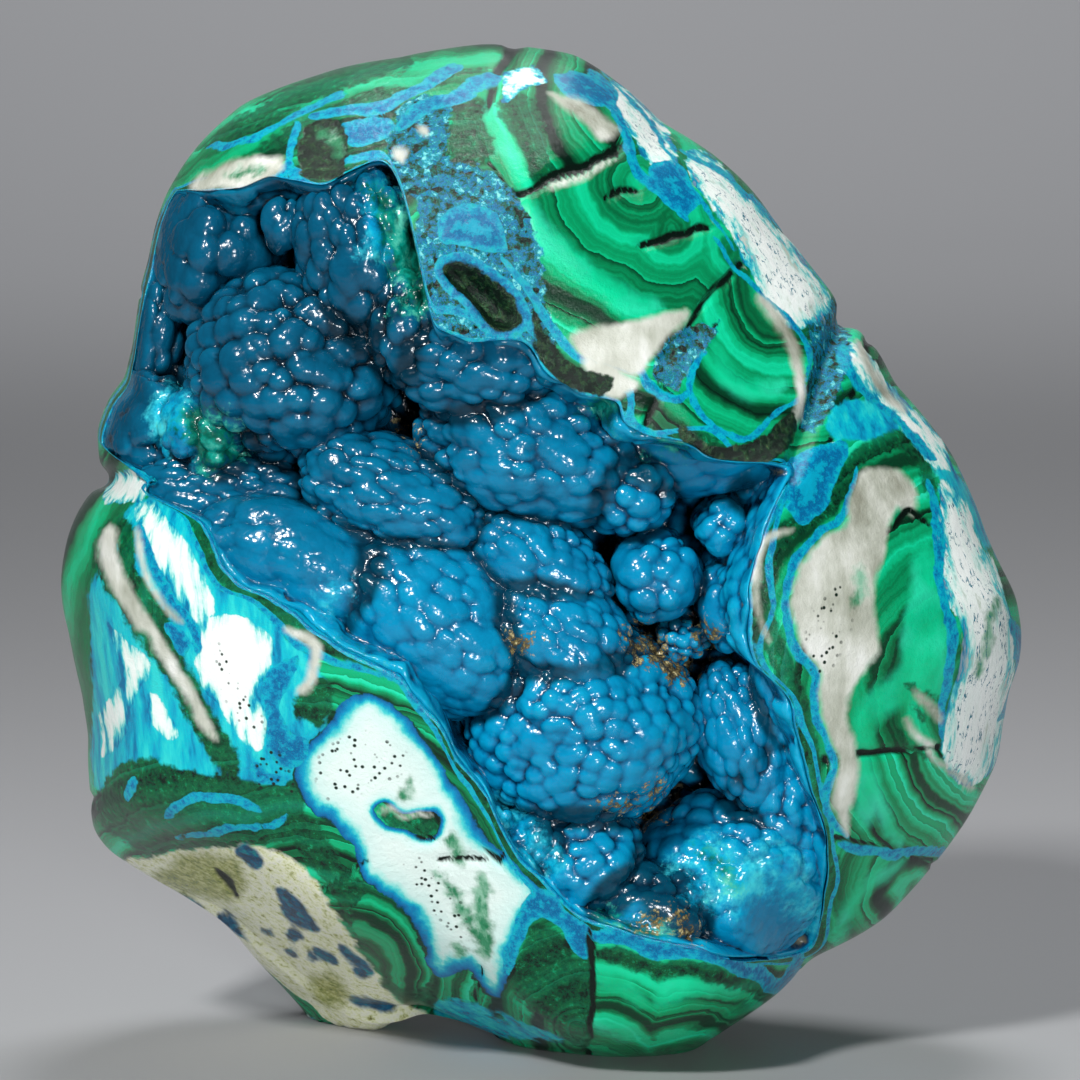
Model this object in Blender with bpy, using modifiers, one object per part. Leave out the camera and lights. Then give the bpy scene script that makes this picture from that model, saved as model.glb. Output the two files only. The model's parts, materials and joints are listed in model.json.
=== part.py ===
"""A polished chrysocolla and malachite nodule with a crust-lined vug.

Units are metres, +Z is up and the open face looks along -Y.
The shape is worked out in millimetres and turned to metres as each mesh is made.
"""
import math

import bmesh
import bpy
import numpy as np
from mathutils import Vector

MM = 0.001

# The point that the face was measured from: aimed a little above the middle of the stone, and
# well in front. A seen place is its x and z in the upright plane through that aim.
VIEW_X = -0.3
VIEW_Z = 51.2
VIEW_TILT = math.radians(7.0)
VIEW_DISTANCE = 540.0

# Middle of the face, from which both outlines are read as a radius at an angle.
CENTRE_X = -8.5
CENTRE_Z = 54.0

# Moves the finished shape so that the middle of its bounds stands over the origin.
SHIFT = (-0.109, 1.044, 0.0)

# Depth of the domed face in front of the widest section, and of the back behind it.
FRONT_DEPTH = 30.0
BACK_DEPTH = 26.0
FLOOR_Y = -2.0
FACET_EASE = 0.9
CRUST_GAP = 1.05
CRUST_THICK = 3.2
STONE_SEGMENTS = 72
STONE_RINGS = 38
RIM_RING = 11
WIDEST_RING = 20
CRUST_SEGMENTS = 64
CRUST_FUSE = 0.62
CRUST_THINNING = 0.050

# Widest section of the stone, x and z, clockwise from the top.
OUTLINE = [
    (-5.3, 100.7), (0.0, 100.3), (3.2, 99.7), (7.1, 97.2), (11.9, 92.9), (17.2, 89.5), (20.1, 87.0),
    (23.1, 83.3), (26.2, 79.5), (28.8, 76.2), (30.3, 73.4), (33.7, 70.0), (35.3, 66.7), (38.7, 62.8),
    (40.8, 60.0), (43.4, 54.9), (44.6, 51.6), (46.1, 48.6), (47.7, 45.5), (48.3, 41.5), (48.1, 38.8),
    (47.1, 36.0), (46.3, 31.9), (45.7, 28.5), (44.2, 25.4), (42.8, 22.5), (41.0, 19.7), (38.5, 16.6),
    (35.0, 12.9), (31.0, 10.3), (27.2, 8.5), (24.4, 5.6), (22.1, 4.0), (19.8, 2.5), (17.7, 1.2),
    (15.2, 0.0), (10.7, -0.4), (4.0, -0.3), (-2.3, 0.0), (-4.7, 0.9), (-8.3, 2.1), (-12.2, 3.8),
    (-16.8, 3.3), (-20.9, 2.4), (-24.3, 3.3), (-26.3, 5.7), (-28.3, 8.8), (-30.3, 11.2), (-33.0, 13.5),
    (-36.9, 14.9), (-40.5, 16.3), (-44.2, 18.4), (-45.4, 21.2), (-45.4, 25.7), (-45.6, 31.4),
    (-46.3, 35.5), (-47.5, 42.0), (-48.3, 47.1), (-47.5, 51.4), (-46.5, 53.8), (-44.0, 57.3),
    (-44.4, 62.2), (-43.2, 65.5), (-41.6, 67.5), (-41.0, 70.5), (-40.3, 74.6), (-39.2, 79.1),
    (-38.4, 83.0), (-37.4, 85.8), (-35.9, 88.2), (-33.8, 90.9), (-32.0, 92.7), (-29.8, 94.6),
    (-26.7, 96.0), (-23.0, 97.4), (-20.0, 98.4), (-14.2, 99.4), (-9.8, 100.2),
]

# Mouth of the vug as seen, x and z, clockwise from its top left corner.
OPENING = [
    (-37.3, 86.0), (-34.8, 86.3), (-30.3, 86.5), (-26.8, 87.7), (-24.8, 87.0), (-22.3, 86.5), (-19.8, 87.5),
    (-16.8, 89.0), (-14.6, 89.3), (-13.6, 86.5), (-12.8, 80.5), (-12.6, 76.0), (-11.2, 72.6), (-7.3, 71.0),
    (-2.3, 71.0), (-1.3, 70.5), (0.2, 68.0), (3.7, 65.5), (7.7, 65.0), (8.2, 63.0), (10.7, 61.5),
    (14.7, 60.5), (16.7, 59.0), (20.7, 58.7), (26.0, 58.8), (23.2, 55.5), (21.9, 52.5), (21.2, 49.5),
    (20.7, 45.5), (20.7, 40.5), (21.4, 38.5), (24.7, 35.5), (25.7, 31.5), (26.7, 26.5), (28.2, 22.5),
    (28.2, 18.5), (27.5, 12.5), (26.0, 9.7), (16.7, 10.2), (4.7, 13.0), (1.7, 15.0), (0.2, 17.5),
    (-2.3, 19.5), (-3.8, 21.5), (-5.3, 25.5), (-7.3, 27.5), (-8.8, 29.5), (-10.3, 32.5), (-12.8, 35.5),
    (-14.3, 37.5), (-18.3, 39.5), (-21.3, 41.5), (-24.3, 43.5), (-27.3, 45.5), (-30.3, 46.5), (-31.8, 48.5),
    (-32.8, 51.0), (-34.3, 53.5), (-35.3, 55.5), (-38.5, 57.0), (-43.4, 58.2),
]
# Its left side, which runs just inside the widest section, x and z on the form.
OPENING_LEFT = [(-45.0, 61.5), (-45.0, 66.0), (-42.5, 72.0), (-41.0, 78.0), (-39.0, 84.0)]

# Polished facets: x and z of a point on each, how far it is pressed under the dome, and the
# way it looks. The first six are in front and the rest behind.
FACETS = [
    (18.7, 79.5, 1.0, (0.59, -0.69, 0.42)),
    (10.0, 75.0, 0.8, (0.22, -0.93, 0.27)),
    (34.0, 45.5, 1.2, (0.44, -0.90, 0.02)),
    (-31.3, 21.0, 1.4, (-0.45, -0.50, -0.74)),
    (-37.3, 40.5, 1.0, (-0.50, -0.86, -0.10)),
    (-11.3, 20.5, 1.2, (-0.15, -0.93, -0.30)),
    (22.0, 64.0, 1.5, (0.50, 0.80, 0.30)),
    (-26.0, 58.0, 1.5, (-0.55, 0.80, 0.15)),
    (4.0, 28.0, 1.5, (0.10, 0.93, -0.36)),
    (-8.0, 80.0, 1.5, (-0.05, 0.84, 0.52)),
]

# Lobes of the crust: middle x and z as seen, how far the crown lies under the face, half width,
# half height, lean in degrees, bubble radius and bubble height, all in millimetres but the lean.
LOBES = [
    ("upper_left_cluster", -32.8, 79.3, 3.6, 6.8, 8.0, 0.0, 1.90, 1.30),
    ("upper_bubble", -25.9, 82.7, 4.5, 2.4, 3.2, 0.0, 1.60, 0.40),
    ("left_edge", -39.1, 71.0, 2.0, 4.0, 7.2, -6.0, 1.40, 0.90),
    ("ball", -25.0, 67.9, 3.4, 11.2, 10.2, 0.0, 1.35, 0.95),
    ("left_strip", -39.3, 62.5, 1.5, 6.2, 5.8, 0.0, 1.20, 0.70),
    ("left_strip_inner", -33.6, 61.9, 3.0, 5.4, 5.0, 0.0, 1.10, 0.70),
    ("cone", -18.1, 79.3, 3.2, 6.8, 10.0, 10.0, 1.15, 0.85),
    ("cone_foot", -13.8, 72.5, 4.5, 4.2, 6.4, 0.0, 1.10, 0.80),
    ("under_ledge", -6.8, 68.7, 2.6, 8.4, 6.2, -4.0, 1.20, 0.85),
    ("sac", -1.5, 59.9, 4.2, 11.8, 7.8, -14.0, 1.35, 1.00),
    ("sac_end", 8.5, 56.0, 5.5, 5.4, 5.0, -10.0, 1.20, 0.80),
    ("shelf", 15.7, 60.3, 4.2, 9.8, 5.2, 4.0, 1.50, 0.50),
    ("shelf_end", 22.5, 56.9, 5.0, 4.2, 4.4, 0.0, 1.20, 0.60),
    ("left_band", -31.1, 54.9, 6.0, 10.4, 5.0, -6.0, 1.15, 0.75),
    ("middle_band", -14.5, 54.7, 5.5, 10.6, 6.2, -20.0, 1.15, 0.75),
    ("middle_band_end", -0.5, 48.3, 5.5, 8.2, 5.8, -32.0, 1.10, 0.70),
    ("tongue_top", -23.3, 48.1, 3.4, 11.8, 6.4, -20.0, 2.00, 0.50),
    ("tongue_middle", -10.5, 42.5, 2.6, 13.0, 9.0, -36.0, 1.50, 0.55),
    ("tongue_side", 1.7, 41.0, 3.6, 9.4, 6.2, -36.0, 1.20, 0.60),
    ("bulb", 3.9, 32.0, 2.0, 12.0, 10.8, 0.0, 0.95, 0.55),
    ("small_ball", 11.4, 47.3, 6.0, 5.0, 5.0, 0.0, 1.10, 0.40),
    ("crumbly_ball", 13.9, 40.9, 8.5, 2.9, 2.6, 0.0, 0.90, 0.35),
    ("long_ball", 18.7, 44.3, 6.0, 3.6, 4.8, 0.0, 1.10, 0.45),
    ("pearl", 17.9, 52.3, 6.5, 3.4, 3.4, 0.0, 1.10, 0.40),
    ("column_top", 23.9, 36.5, 3.6, 3.2, 6.4, 8.0, 1.10, 0.60),
    ("column", 19.9, 31.3, 4.8, 4.8, 7.8, 10.0, 1.10, 0.70),
    ("column_foot", 23.5, 25.0, 3.8, 5.8, 7.2, 12.0, 1.10, 0.70),
    ("foot_left", 3.7, 18.7, 1.5, 6.8, 6.0, 0.0, 1.30, 0.60),
    ("foot_corner", -1.5, 20.9, 1.8, 3.6, 3.4, 0.0, 1.00, 0.40),
    ("foot_right", 18.7, 16.5, 1.3, 10.4, 9.2, -6.0, 1.35, 0.60),
    ("foot_middle", 10.9, 13.7, 1.2, 6.4, 5.2, 0.0, 1.30, 0.55),
    ("white_pearl", -4.6, 22.9, 1.2, 1.7, 1.7, 0.0, 1.50, 0.10),
]
# No lobe comes nearer to the polished face than this.
LOBE_COVER = 0.8
LOBE_EASE = 0.8


def polar_table(points, blur):
    """Radius about the middle at 720 even angles, softened over a few of them."""
    spots = np.array(points, dtype=float)
    dx = spots[:, 0] - CENTRE_X
    dz = spots[:, 1] - CENTRE_Z
    angle = np.arctan2(dz, dx)
    order = np.argsort(angle)
    grid = np.linspace(-math.pi, math.pi, 720, endpoint=False)
    radius = np.interp(grid, angle[order], np.hypot(dx, dz)[order], period=2.0 * math.pi)
    offsets = np.arange(-9, 10)
    weights = np.exp(-0.5 * (offsets / blur) ** 2)
    weights /= weights.sum()
    soft = sum(w * np.roll(radius, o) for w, o in zip(weights, offsets))
    return grid, soft


def calmed(radius, blur):
    """The same radii with only their broad swells left."""
    offsets = np.arange(-3 * blur, 3 * blur + 1)
    weights = np.exp(-0.5 * (offsets / blur) ** 2)
    return sum(w * np.roll(radius, o) for w, o in zip(weights / weights.sum(), offsets))


OUTER = polar_table(OUTLINE, 1.5)
OUTER_CALM = calmed(OUTER[1], 24)


def outer_radius(angle):
    """Radius of the widest section at an angle."""
    return np.interp(angle, OUTER[0], OUTER[1], period=2.0 * math.pi)


def skin_radius(angle, share, side):
    """Radius of the skin: behind, the outline's dents fade out towards the middle."""
    outer = outer_radius(angle)
    calm = np.interp(angle, OUTER[0], OUTER_CALM, period=2.0 * math.pi)
    return share * np.where(side > 0, calm + (outer - calm) * share ** 4, outer)


def dome_depth(share, side, blunt):
    """Depth of the bare dome from a superellipse, in front (-1) or behind (+1)."""
    power = 2.6 + 4.5 * blunt
    front = FRONT_DEPTH * np.power(np.clip(1.0 - share ** power, 0.0, 1.0), 0.62)
    back = BACK_DEPTH * np.power(np.clip(1.0 - share ** (power - 0.1), 0.0, 1.0), 0.60)
    return np.where(side < 0, -front, back)


def blunt_foot(angle):
    """How far the underside is squared off under the middle of the stone's weight."""
    return np.exp(-((angle + 1.18) / 0.24) ** 4)


def facet_planes():
    """Turns the facet rows into points and unit normals."""
    planes = []
    for x, z, press, facing in FACETS:
        normal = np.array(facing, dtype=float)
        normal /= np.linalg.norm(normal)
        side = math.copysign(1.0, normal[1])
        angle = np.array([math.atan2(z - CENTRE_Z, x - CENTRE_X)])
        share = math.hypot(z - CENTRE_Z, x - CENTRE_X) / outer_radius(angle)
        depth = dome_depth(share, side, blunt_foot(angle))[0]
        spot = np.array([x, depth, z]) - press * normal
        planes.append((spot, normal))
    return planes


PLANES = facet_planes()


def cut_facets(points):
    """Presses points that stand in front of a facet back to just over it, with soft edges."""
    moved = points.copy()
    for spot, normal in PLANES:
        over = (moved - spot) @ normal
        moved -= np.outer(0.86 * FACET_EASE * np.logaddexp(0.0, over / FACET_EASE), normal)
    return moved


def skin_point(angle, share, side):
    """Outer skin: share runs from 0 at the middle to 1 at the widest section.

    side is -1 in front and +1 behind.
    """
    radius = skin_radius(angle, share, side)
    depth = dome_depth(share, side, blunt_foot(angle))
    lift = foot_drop(angle, share, side)
    points = np.stack([
        CENTRE_X + radius * np.cos(angle),
        depth,
        CENTRE_Z + radius * np.sin(angle) - lift,
    ], axis=1)
    return cut_facets(points)


def foot_drop(angle, share, side):
    """Extra length downwards behind the widest section, at the rear left foot."""
    toward = np.exp(-(np.abs(angle + 1.90) / 0.25) ** 3)
    ring = np.exp(-(np.abs(share - 0.83) / 0.16) ** 3)
    return np.where(side > 0, 11.8 * toward * ring, 0.0)


def at_depth(seen_x, seen_z, depth):
    """Place at a depth that is seen at an x and z, by plain perspective."""
    cos_tilt = math.cos(VIEW_TILT)
    sin_tilt = math.sin(VIEW_TILT)
    along_x = seen_x - VIEW_X
    along_z = seen_z - VIEW_Z
    near = VIEW_DISTANCE + depth * cos_tilt
    rise = along_z * near - VIEW_DISTANCE * depth * sin_tilt
    rise /= VIEW_DISTANCE * cos_tilt + along_z * sin_tilt
    spread = (near - rise * sin_tilt) / VIEW_DISTANCE
    return VIEW_X + along_x * spread, VIEW_Z + rise


def face_point(x, z):
    """The polished skin in front, at the angle and share of places on the face."""
    angle = np.arctan2(z - CENTRE_Z, x - CENTRE_X)
    share = np.hypot(z - CENTRE_Z, x - CENTRE_X) / outer_radius(angle)
    return skin_point(angle, np.clip(share, 0.0, 0.999), np.full_like(angle, -1.0))


def carried(seen_x, seen_z, sink):
    """Carries a seen place onto the form: onto its skin, or so far behind the skin."""
    x, z = seen_x, seen_z
    for _ in range(30):
        skin = face_point(np.array([x]), np.array([z]))[0]
        to_x, to_z = at_depth(seen_x, seen_z, skin[1] + SHIFT[1] + sink)
        if sink > 0.0:
            x, z = to_x - SHIFT[0], to_z
        else:
            x += 0.7 * (to_x - skin[0] - SHIFT[0])
            z += 0.7 * (to_z - skin[2])
    return x, z


MOUTH = polar_table([carried(x, z, 0.0) for x, z in OPENING] + OPENING_LEFT, 2.5)


def mouth_radius(angle):
    """Radius of the vug's mouth at an angle, kept inside the widest section."""
    radius = np.interp(angle, MOUTH[0], MOUTH[1], period=2.0 * math.pi)
    return np.minimum(radius, outer_radius(angle) - 0.9)


def even_angles(count):
    """Angles that step evenly along the lengths of the mouth and the widest section."""
    grid = np.linspace(-math.pi, math.pi, 7201)
    travel = np.zeros(7200)
    for radius in (mouth_radius(grid), outer_radius(grid)):
        x = radius * np.cos(grid)
        z = radius * np.sin(grid)
        travel += np.hypot(np.diff(x), np.diff(z))
    travel = np.concatenate([[0.0], np.cumsum(travel)])
    return np.interp(np.arange(count) / count * travel[-1], travel, grid)


def vug_point(angle, turn, gap):
    """Wall and floor of the vug: turn runs from 0 at the rim to 1 at the floor's middle.

    Radius falls as a power of the cosine of the turn and depth grows as its sine.
    """
    rim_share = mouth_radius(angle) / outer_radius(angle)
    rim = skin_point(angle, rim_share, np.full_like(angle, -1.0))
    shallow = np.clip((rim_share - 0.86) / 0.10, 0.0, 1.0)
    power = 0.50 + 0.55 * shallow
    swing = np.clip(turn, 0.0, 1.0) * math.pi / 2.0
    across = np.power(np.clip(np.cos(swing), 0.0, 1.0), power)
    down = np.sin(swing)
    depth = rim[:, 1] + (FLOOR_Y - rim[:, 1]) * down - gap * down
    shrink = 1.0 - gap * np.sqrt(across + 1e-9) / np.maximum(mouth_radius(angle), 1.0)
    x = CENTRE_X + (rim[:, 0] - CENTRE_X) * across * shrink
    z = CENTRE_Z + (rim[:, 2] - CENTRE_Z) * across * shrink
    return np.stack([x, depth, z], axis=1)


def make_material(name, colour, roughness):
    """A Principled material in one plain colour."""
    material = bpy.data.materials.new(name)
    material.use_nodes = True
    shader = material.node_tree.nodes["Principled BSDF"]
    shader.inputs["Base Color"].default_value = (*colour, 1.0)
    shader.inputs["Roughness"].default_value = roughness
    shader.inputs["Metallic"].default_value = 0.0
    material.diffuse_color = (*colour, 1.0)
    return material


def object_from(bm, name, collection):
    """Ends a bmesh as a named object."""
    bmesh.ops.recalc_face_normals(bm, faces=bm.faces)
    mesh = bpy.data.meshes.new(name)
    bm.to_mesh(mesh)
    bm.free()
    thing = bpy.data.objects.new(name, mesh)
    collection.objects.link(thing)
    return thing


def mapped_sphere(segments, rings, place):
    """A UV sphere whose rings, counted from the front pole, are placed by a formula."""
    bm = bmesh.new()
    bmesh.ops.create_uvsphere(bm, u_segments=segments, v_segments=rings, radius=1.0)
    spots = np.array([v.co[:] for v in bm.verts])
    turn = np.arctan2(spots[:, 1], spots[:, 0]) / (2.0 * math.pi)
    angle = even_angles(segments)[np.rint(turn * segments).astype(int) % segments]
    ring = np.rint(np.arccos(np.clip(spots[:, 2], -1.0, 1.0)) * rings / math.pi)
    placed = (place(angle, ring) + np.array(SHIFT)) * MM
    for vert, spot in zip(bm.verts, placed):
        vert.co = Vector(spot)
    return bm


def place_stone(angle, ring):
    """Stone: rings 0 to 11 are the vug, 11 to 20 the face, 20 to the last the back."""
    rim_share = mouth_radius(angle) / outer_radius(angle)
    vug = vug_point(angle, 1.0 - ring / RIM_RING, 0.0)
    way = np.clip((ring - RIM_RING) / (WIDEST_RING - RIM_RING), 0.0, 1.0)
    face_share = rim_share + (1.0 - rim_share) * np.sin(way * math.pi / 2.0)
    face = skin_point(angle, face_share, np.full_like(angle, -1.0))
    behind = np.clip((ring - WIDEST_RING) / (STONE_RINGS - WIDEST_RING), 0.0, 1.0)
    back = skin_point(angle, np.cos(behind * math.pi / 2.0), np.full_like(angle, 1.0))
    pick_face = (ring >= RIM_RING)[:, None]
    pick_back = (ring > WIDEST_RING)[:, None]
    points = np.where(pick_back, back, np.where(pick_face, face, vug))
    points[:, 2] = np.where(points[:, 2] < 0.9, 0.0, points[:, 2])
    return points


def place_space(angle, ring):
    """Room for the crust: rings 0 to 8 follow the polished face, 8 to the last the vug.

    The vug's rings are those of the stone, so that the two surfaces stay a gap apart.
    """
    rim_share = mouth_radius(angle) / outer_radius(angle)
    inset = 1.0 - CRUST_GAP / np.maximum(mouth_radius(angle), 1.0)
    share = rim_share * inset * np.clip(ring / 8.0, 0.0, 1.0)
    face = skin_point(angle, share, np.full_like(angle, -1.0))
    face[:, 1] += 0.30
    vug = vug_point(angle, (ring - 8.0) / RIM_RING, CRUST_GAP)
    return np.where((ring < 8.5)[:, None], face, vug)


def place_lining(angle, ring):
    """Lining: rings 0 to 12 are its lumpy front, the rest run behind the vug's wall."""
    front = vug_point(angle, 1.0 - np.clip(ring / 12.0, 0.0, 1.0), CRUST_GAP)
    lump = 0.7 * np.sin(5.0 * angle + 0.9 * ring) + 0.5 * np.sin(9.0 * angle - 1.3 * ring)
    turn = 1.0 - np.clip(ring / 12.0, 0.0, 1.0)
    wall = 1.0 - (1.3 + 0.3 * lump) / np.maximum(mouth_radius(angle), 1.0)
    x = CENTRE_X + (front[:, 0] - CENTRE_X) * wall
    z = CENTRE_Z + (front[:, 2] - CENTRE_Z) * wall
    depth = front[:, 1] - (CRUST_THICK + lump) * np.power(turn, 0.5)
    depth = depth - 3.0 * np.clip(ring - 11.0, 0.0, 1.0)
    inner = np.stack([x, depth, z], axis=1)
    outer = vug_point(angle, np.clip((ring - 13.0) / 11.0, 0.0, 1.0), 0.0)
    out_x = CENTRE_X + (outer[:, 0] - CENTRE_X) * 1.03
    out_z = CENTRE_Z + (outer[:, 2] - CENTRE_Z) * 1.03
    fore = 3.0 * np.clip(14.0 - ring, 0.0, 1.0)
    outside = np.stack([out_x, outer[:, 1] + 1.5 - fore, out_z], axis=1)
    return np.where((ring < 12.5)[:, None], inner, outside)


def bubble_heads(count, seed):
    """Even points on a unit sphere by the golden angle, each nudged a little."""
    rng = np.random.default_rng(seed)
    step = np.arange(count) + 0.5
    rise = 1.0 - 2.0 * step / count
    turn = step * math.pi * (3.0 - math.sqrt(5.0))
    flat = np.sqrt(1.0 - rise ** 2)
    heads = np.stack([flat * np.cos(turn), rise, flat * np.sin(turn)], axis=1)
    heads += rng.normal(0.0, 0.25 / math.sqrt(count), heads.shape)
    return heads / np.linalg.norm(heads, axis=1)[:, None]


def make_lobe(index, row, collection):
    """One lobe: a half ball in front of a long stem, raised in round bubbles.

    Each point rises by the rounded height of the bubble whose head is nearest.
    """
    name, seen_x, seen_z, under, wide, high, lean, bubble, rise = row
    size = max(wide, high)
    deep = min(wide, high)
    mid_x, mid_z = carried(seen_x, seen_z, under + 0.5 * deep)
    detail = 4 if size > 7.0 else (3 if size > 3.0 else 2)
    bm = bmesh.new()
    bmesh.ops.create_icosphere(bm, subdivisions=detail, radius=1.0)
    spots = np.array([v.co[:] for v in bm.verts])
    coarse = max(bubble, size / 5.0)
    count = max(12, int(3.4 * (0.5 * (wide + high) / coarse) ** 2))
    heads = bubble_heads(count, 31 + index)
    nearest = np.arccos(np.clip(spots @ heads.T, -1.0, 1.0)).min(axis=1)
    reach = math.sqrt(4.0 * math.pi / count) * 0.62
    swell = np.sqrt(np.clip(1.0 - (nearest / reach) ** 2 * 0.92, 0.0, 1.0))
    length = 1.0 + 1.25 * rise / size * (swell - 1.0)
    mid_y = face_point(np.array([mid_x]), np.array([mid_z]))[0, 1] + under + deep
    stem = max(1.0, (FLOOR_Y + 2.0 - mid_y) / deep)
    cos_lean = math.cos(math.radians(lean))
    sin_lean = math.sin(math.radians(lean))
    across = spots[:, 0] * length * wide
    along = spots[:, 2] * length * high
    depth = spots[:, 1] * length * deep
    depth = np.where(depth > 0.0, depth * stem, depth)
    x = mid_x + across * cos_lean - along * sin_lean
    z = mid_z + across * sin_lean + along * cos_lean
    over = (face_point(x, z)[:, 1] + LOBE_COVER - mid_y - depth) / LOBE_EASE
    y = mid_y + depth + 0.85 * LOBE_EASE * np.logaddexp(0.0, over)
    placed = (np.stack([x, y, z], axis=1) + np.array(SHIFT)) * MM
    for vert, spot in zip(bm.verts, placed):
        vert.co = Vector(spot)
    return object_from(bm, "lobe_" + name, collection)


def add_boolean(thing, operation, operand):
    """A Boolean with one object or with all of a collection."""
    modifier = thing.modifiers.new(operation.lower(), "BOOLEAN")
    modifier.operation = operation
    modifier.solver = "MANIFOLD"
    if isinstance(operand, bpy.types.Collection):
        modifier.operand_type = "COLLECTION"
        modifier.collection = operand
    else:
        modifier.object = operand


def keep_largest(bm):
    """Drops loose crumbs, so that one body joined across its edges is left."""
    waiting = set(bm.faces)
    largest = []
    while waiting:
        group = [waiting.pop()]
        for face in group:
            plain = [edge for edge in face.edges if len(edge.link_faces) == 2]
            for other in [near for edge in plain for near in edge.link_faces]:
                if other in waiting:
                    waiting.remove(other)
                    group.append(other)
        largest = max(largest, group, key=len)
    kept = set(largest)
    loose = [face for face in bm.faces if face not in kept]
    bmesh.ops.delete(bm, geom=loose, context="FACES")
    stray = [vert for vert in bm.verts if not vert.link_faces]
    bmesh.ops.delete(bm, geom=stray, context="VERTS")


def bake(thing, merge):
    """Turns the modifiers into mesh and closes tiny slivers."""
    graph = bpy.context.evaluated_depsgraph_get()
    mesh = bpy.data.meshes.new_from_object(thing.evaluated_get(graph), depsgraph=graph)
    thing.modifiers.clear()
    bm = bmesh.new()
    bm.from_mesh(mesh)
    bmesh.ops.remove_doubles(bm, verts=bm.verts, dist=merge)
    bmesh.ops.dissolve_degenerate(bm, dist=merge * 0.5, edges=bm.edges)
    bmesh.ops.triangulate(bm, faces=bm.faces)
    keep_largest(bm)
    bmesh.ops.recalc_face_normals(bm, faces=bm.faces)
    bm.to_mesh(mesh)
    bm.free()
    mesh.name = thing.name
    thing.data = mesh


def clear_scene():
    """Removes every object already in the scene."""
    for thing in list(bpy.data.objects):
        bpy.data.objects.remove(thing, do_unlink=True)


def new_collection(name, parent):
    """A collection under another one."""
    made = bpy.data.collections.new(name)
    parent.children.link(made)
    return made


def hide_tools(collection):
    """Shows the cutting shapes as wire and keeps them out of a render."""
    collection.hide_render = True
    for thing in collection.all_objects:
        thing.hide_render = True
        thing.display_type = "WIRE"


def main():
    """Builds the stone and its crust."""
    clear_scene()
    root = bpy.context.scene.collection
    specimen = new_collection("azurite_specimen", root)
    tools = new_collection("cutters", root)
    lobes = new_collection("crust_lobes", tools)

    stone_bm = mapped_sphere(STONE_SEGMENTS, STONE_RINGS, place_stone)
    bmesh.ops.remove_doubles(stone_bm, verts=stone_bm.verts, dist=0.02 * MM)
    bmesh.ops.triangulate(stone_bm, faces=stone_bm.faces)
    stone = object_from(stone_bm, "polished_nodule", specimen)
    stone.data.materials.append(make_material("polished_malachite", (0.02, 0.30, 0.14), 0.16))

    space_bm = mapped_sphere(STONE_SEGMENTS, 8 + RIM_RING, place_space)
    bmesh.ops.triangulate(space_bm, faces=space_bm.faces)
    space = object_from(space_bm, "vug_space", tools)
    crust_bm = mapped_sphere(CRUST_SEGMENTS, 24, place_lining)
    crust = object_from(crust_bm, "botryoidal_crust", specimen)
    for index, row in enumerate(LOBES):
        make_lobe(index, row, lobes)
    add_boolean(crust, "UNION", lobes)
    add_boolean(crust, "INTERSECT", space)
    fuse = crust.modifiers.new("fuse", "REMESH")
    fuse.mode = "VOXEL"
    fuse.voxel_size = CRUST_FUSE * MM
    thin = crust.modifiers.new("thin", "DECIMATE")
    thin.ratio = CRUST_THINNING
    hide_tools(tools)
    hide_tools(lobes)
    bake(crust, 0.002 * MM)
    crust.data.materials.clear()
    crust.data.materials.append(make_material("blue_chrysocolla", (0.01, 0.16, 0.42), 0.20))

    for thing in (stone, crust):
        print(thing.name, len(thing.data.polygons), "triangles")


main()
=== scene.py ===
import json
import math

import bmesh
import bpy
import numpy as np
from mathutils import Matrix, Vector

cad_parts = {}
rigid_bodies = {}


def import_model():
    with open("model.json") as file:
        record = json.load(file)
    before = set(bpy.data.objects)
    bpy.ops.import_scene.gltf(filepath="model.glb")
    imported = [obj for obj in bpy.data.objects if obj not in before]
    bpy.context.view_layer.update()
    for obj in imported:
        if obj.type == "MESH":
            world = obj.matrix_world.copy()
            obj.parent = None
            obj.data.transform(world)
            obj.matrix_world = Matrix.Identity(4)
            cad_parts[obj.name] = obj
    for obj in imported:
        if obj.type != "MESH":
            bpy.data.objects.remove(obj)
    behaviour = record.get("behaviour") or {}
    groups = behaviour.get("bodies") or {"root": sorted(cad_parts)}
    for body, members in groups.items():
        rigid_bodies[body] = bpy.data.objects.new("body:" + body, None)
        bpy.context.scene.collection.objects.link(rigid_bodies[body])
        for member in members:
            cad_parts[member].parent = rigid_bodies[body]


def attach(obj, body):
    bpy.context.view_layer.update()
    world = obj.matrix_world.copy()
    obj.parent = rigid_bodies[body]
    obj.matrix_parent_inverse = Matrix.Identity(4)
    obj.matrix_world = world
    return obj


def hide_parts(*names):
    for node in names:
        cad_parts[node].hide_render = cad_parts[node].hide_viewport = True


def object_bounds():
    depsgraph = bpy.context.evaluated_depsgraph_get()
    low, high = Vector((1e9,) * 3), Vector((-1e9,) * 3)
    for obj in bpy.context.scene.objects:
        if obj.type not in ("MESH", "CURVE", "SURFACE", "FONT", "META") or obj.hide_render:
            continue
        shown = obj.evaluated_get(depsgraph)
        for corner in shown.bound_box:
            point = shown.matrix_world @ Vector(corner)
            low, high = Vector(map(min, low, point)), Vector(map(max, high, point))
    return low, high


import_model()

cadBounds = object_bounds()
mm = 0.001
fullTurn = 2.0 * math.pi
inFront, behind = -1, 1

# Millimetres, but for the floor, the lights and the camera. The mouth and the markings are given as
# they are seen from a point well in front and a little above the middle: x to the right and z up,
# at the depth of the middle.
look = {"x": -0.3, "z": 51.2, "tilt": math.radians(7.0), "distance": 540.0, "lens": 180.0, "sensor": 36.0}
middle = {"x": -8.5, "z": 54.0}
shift = np.array([-0.109, 1.044, 0.0])  # from the form to the frame
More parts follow.
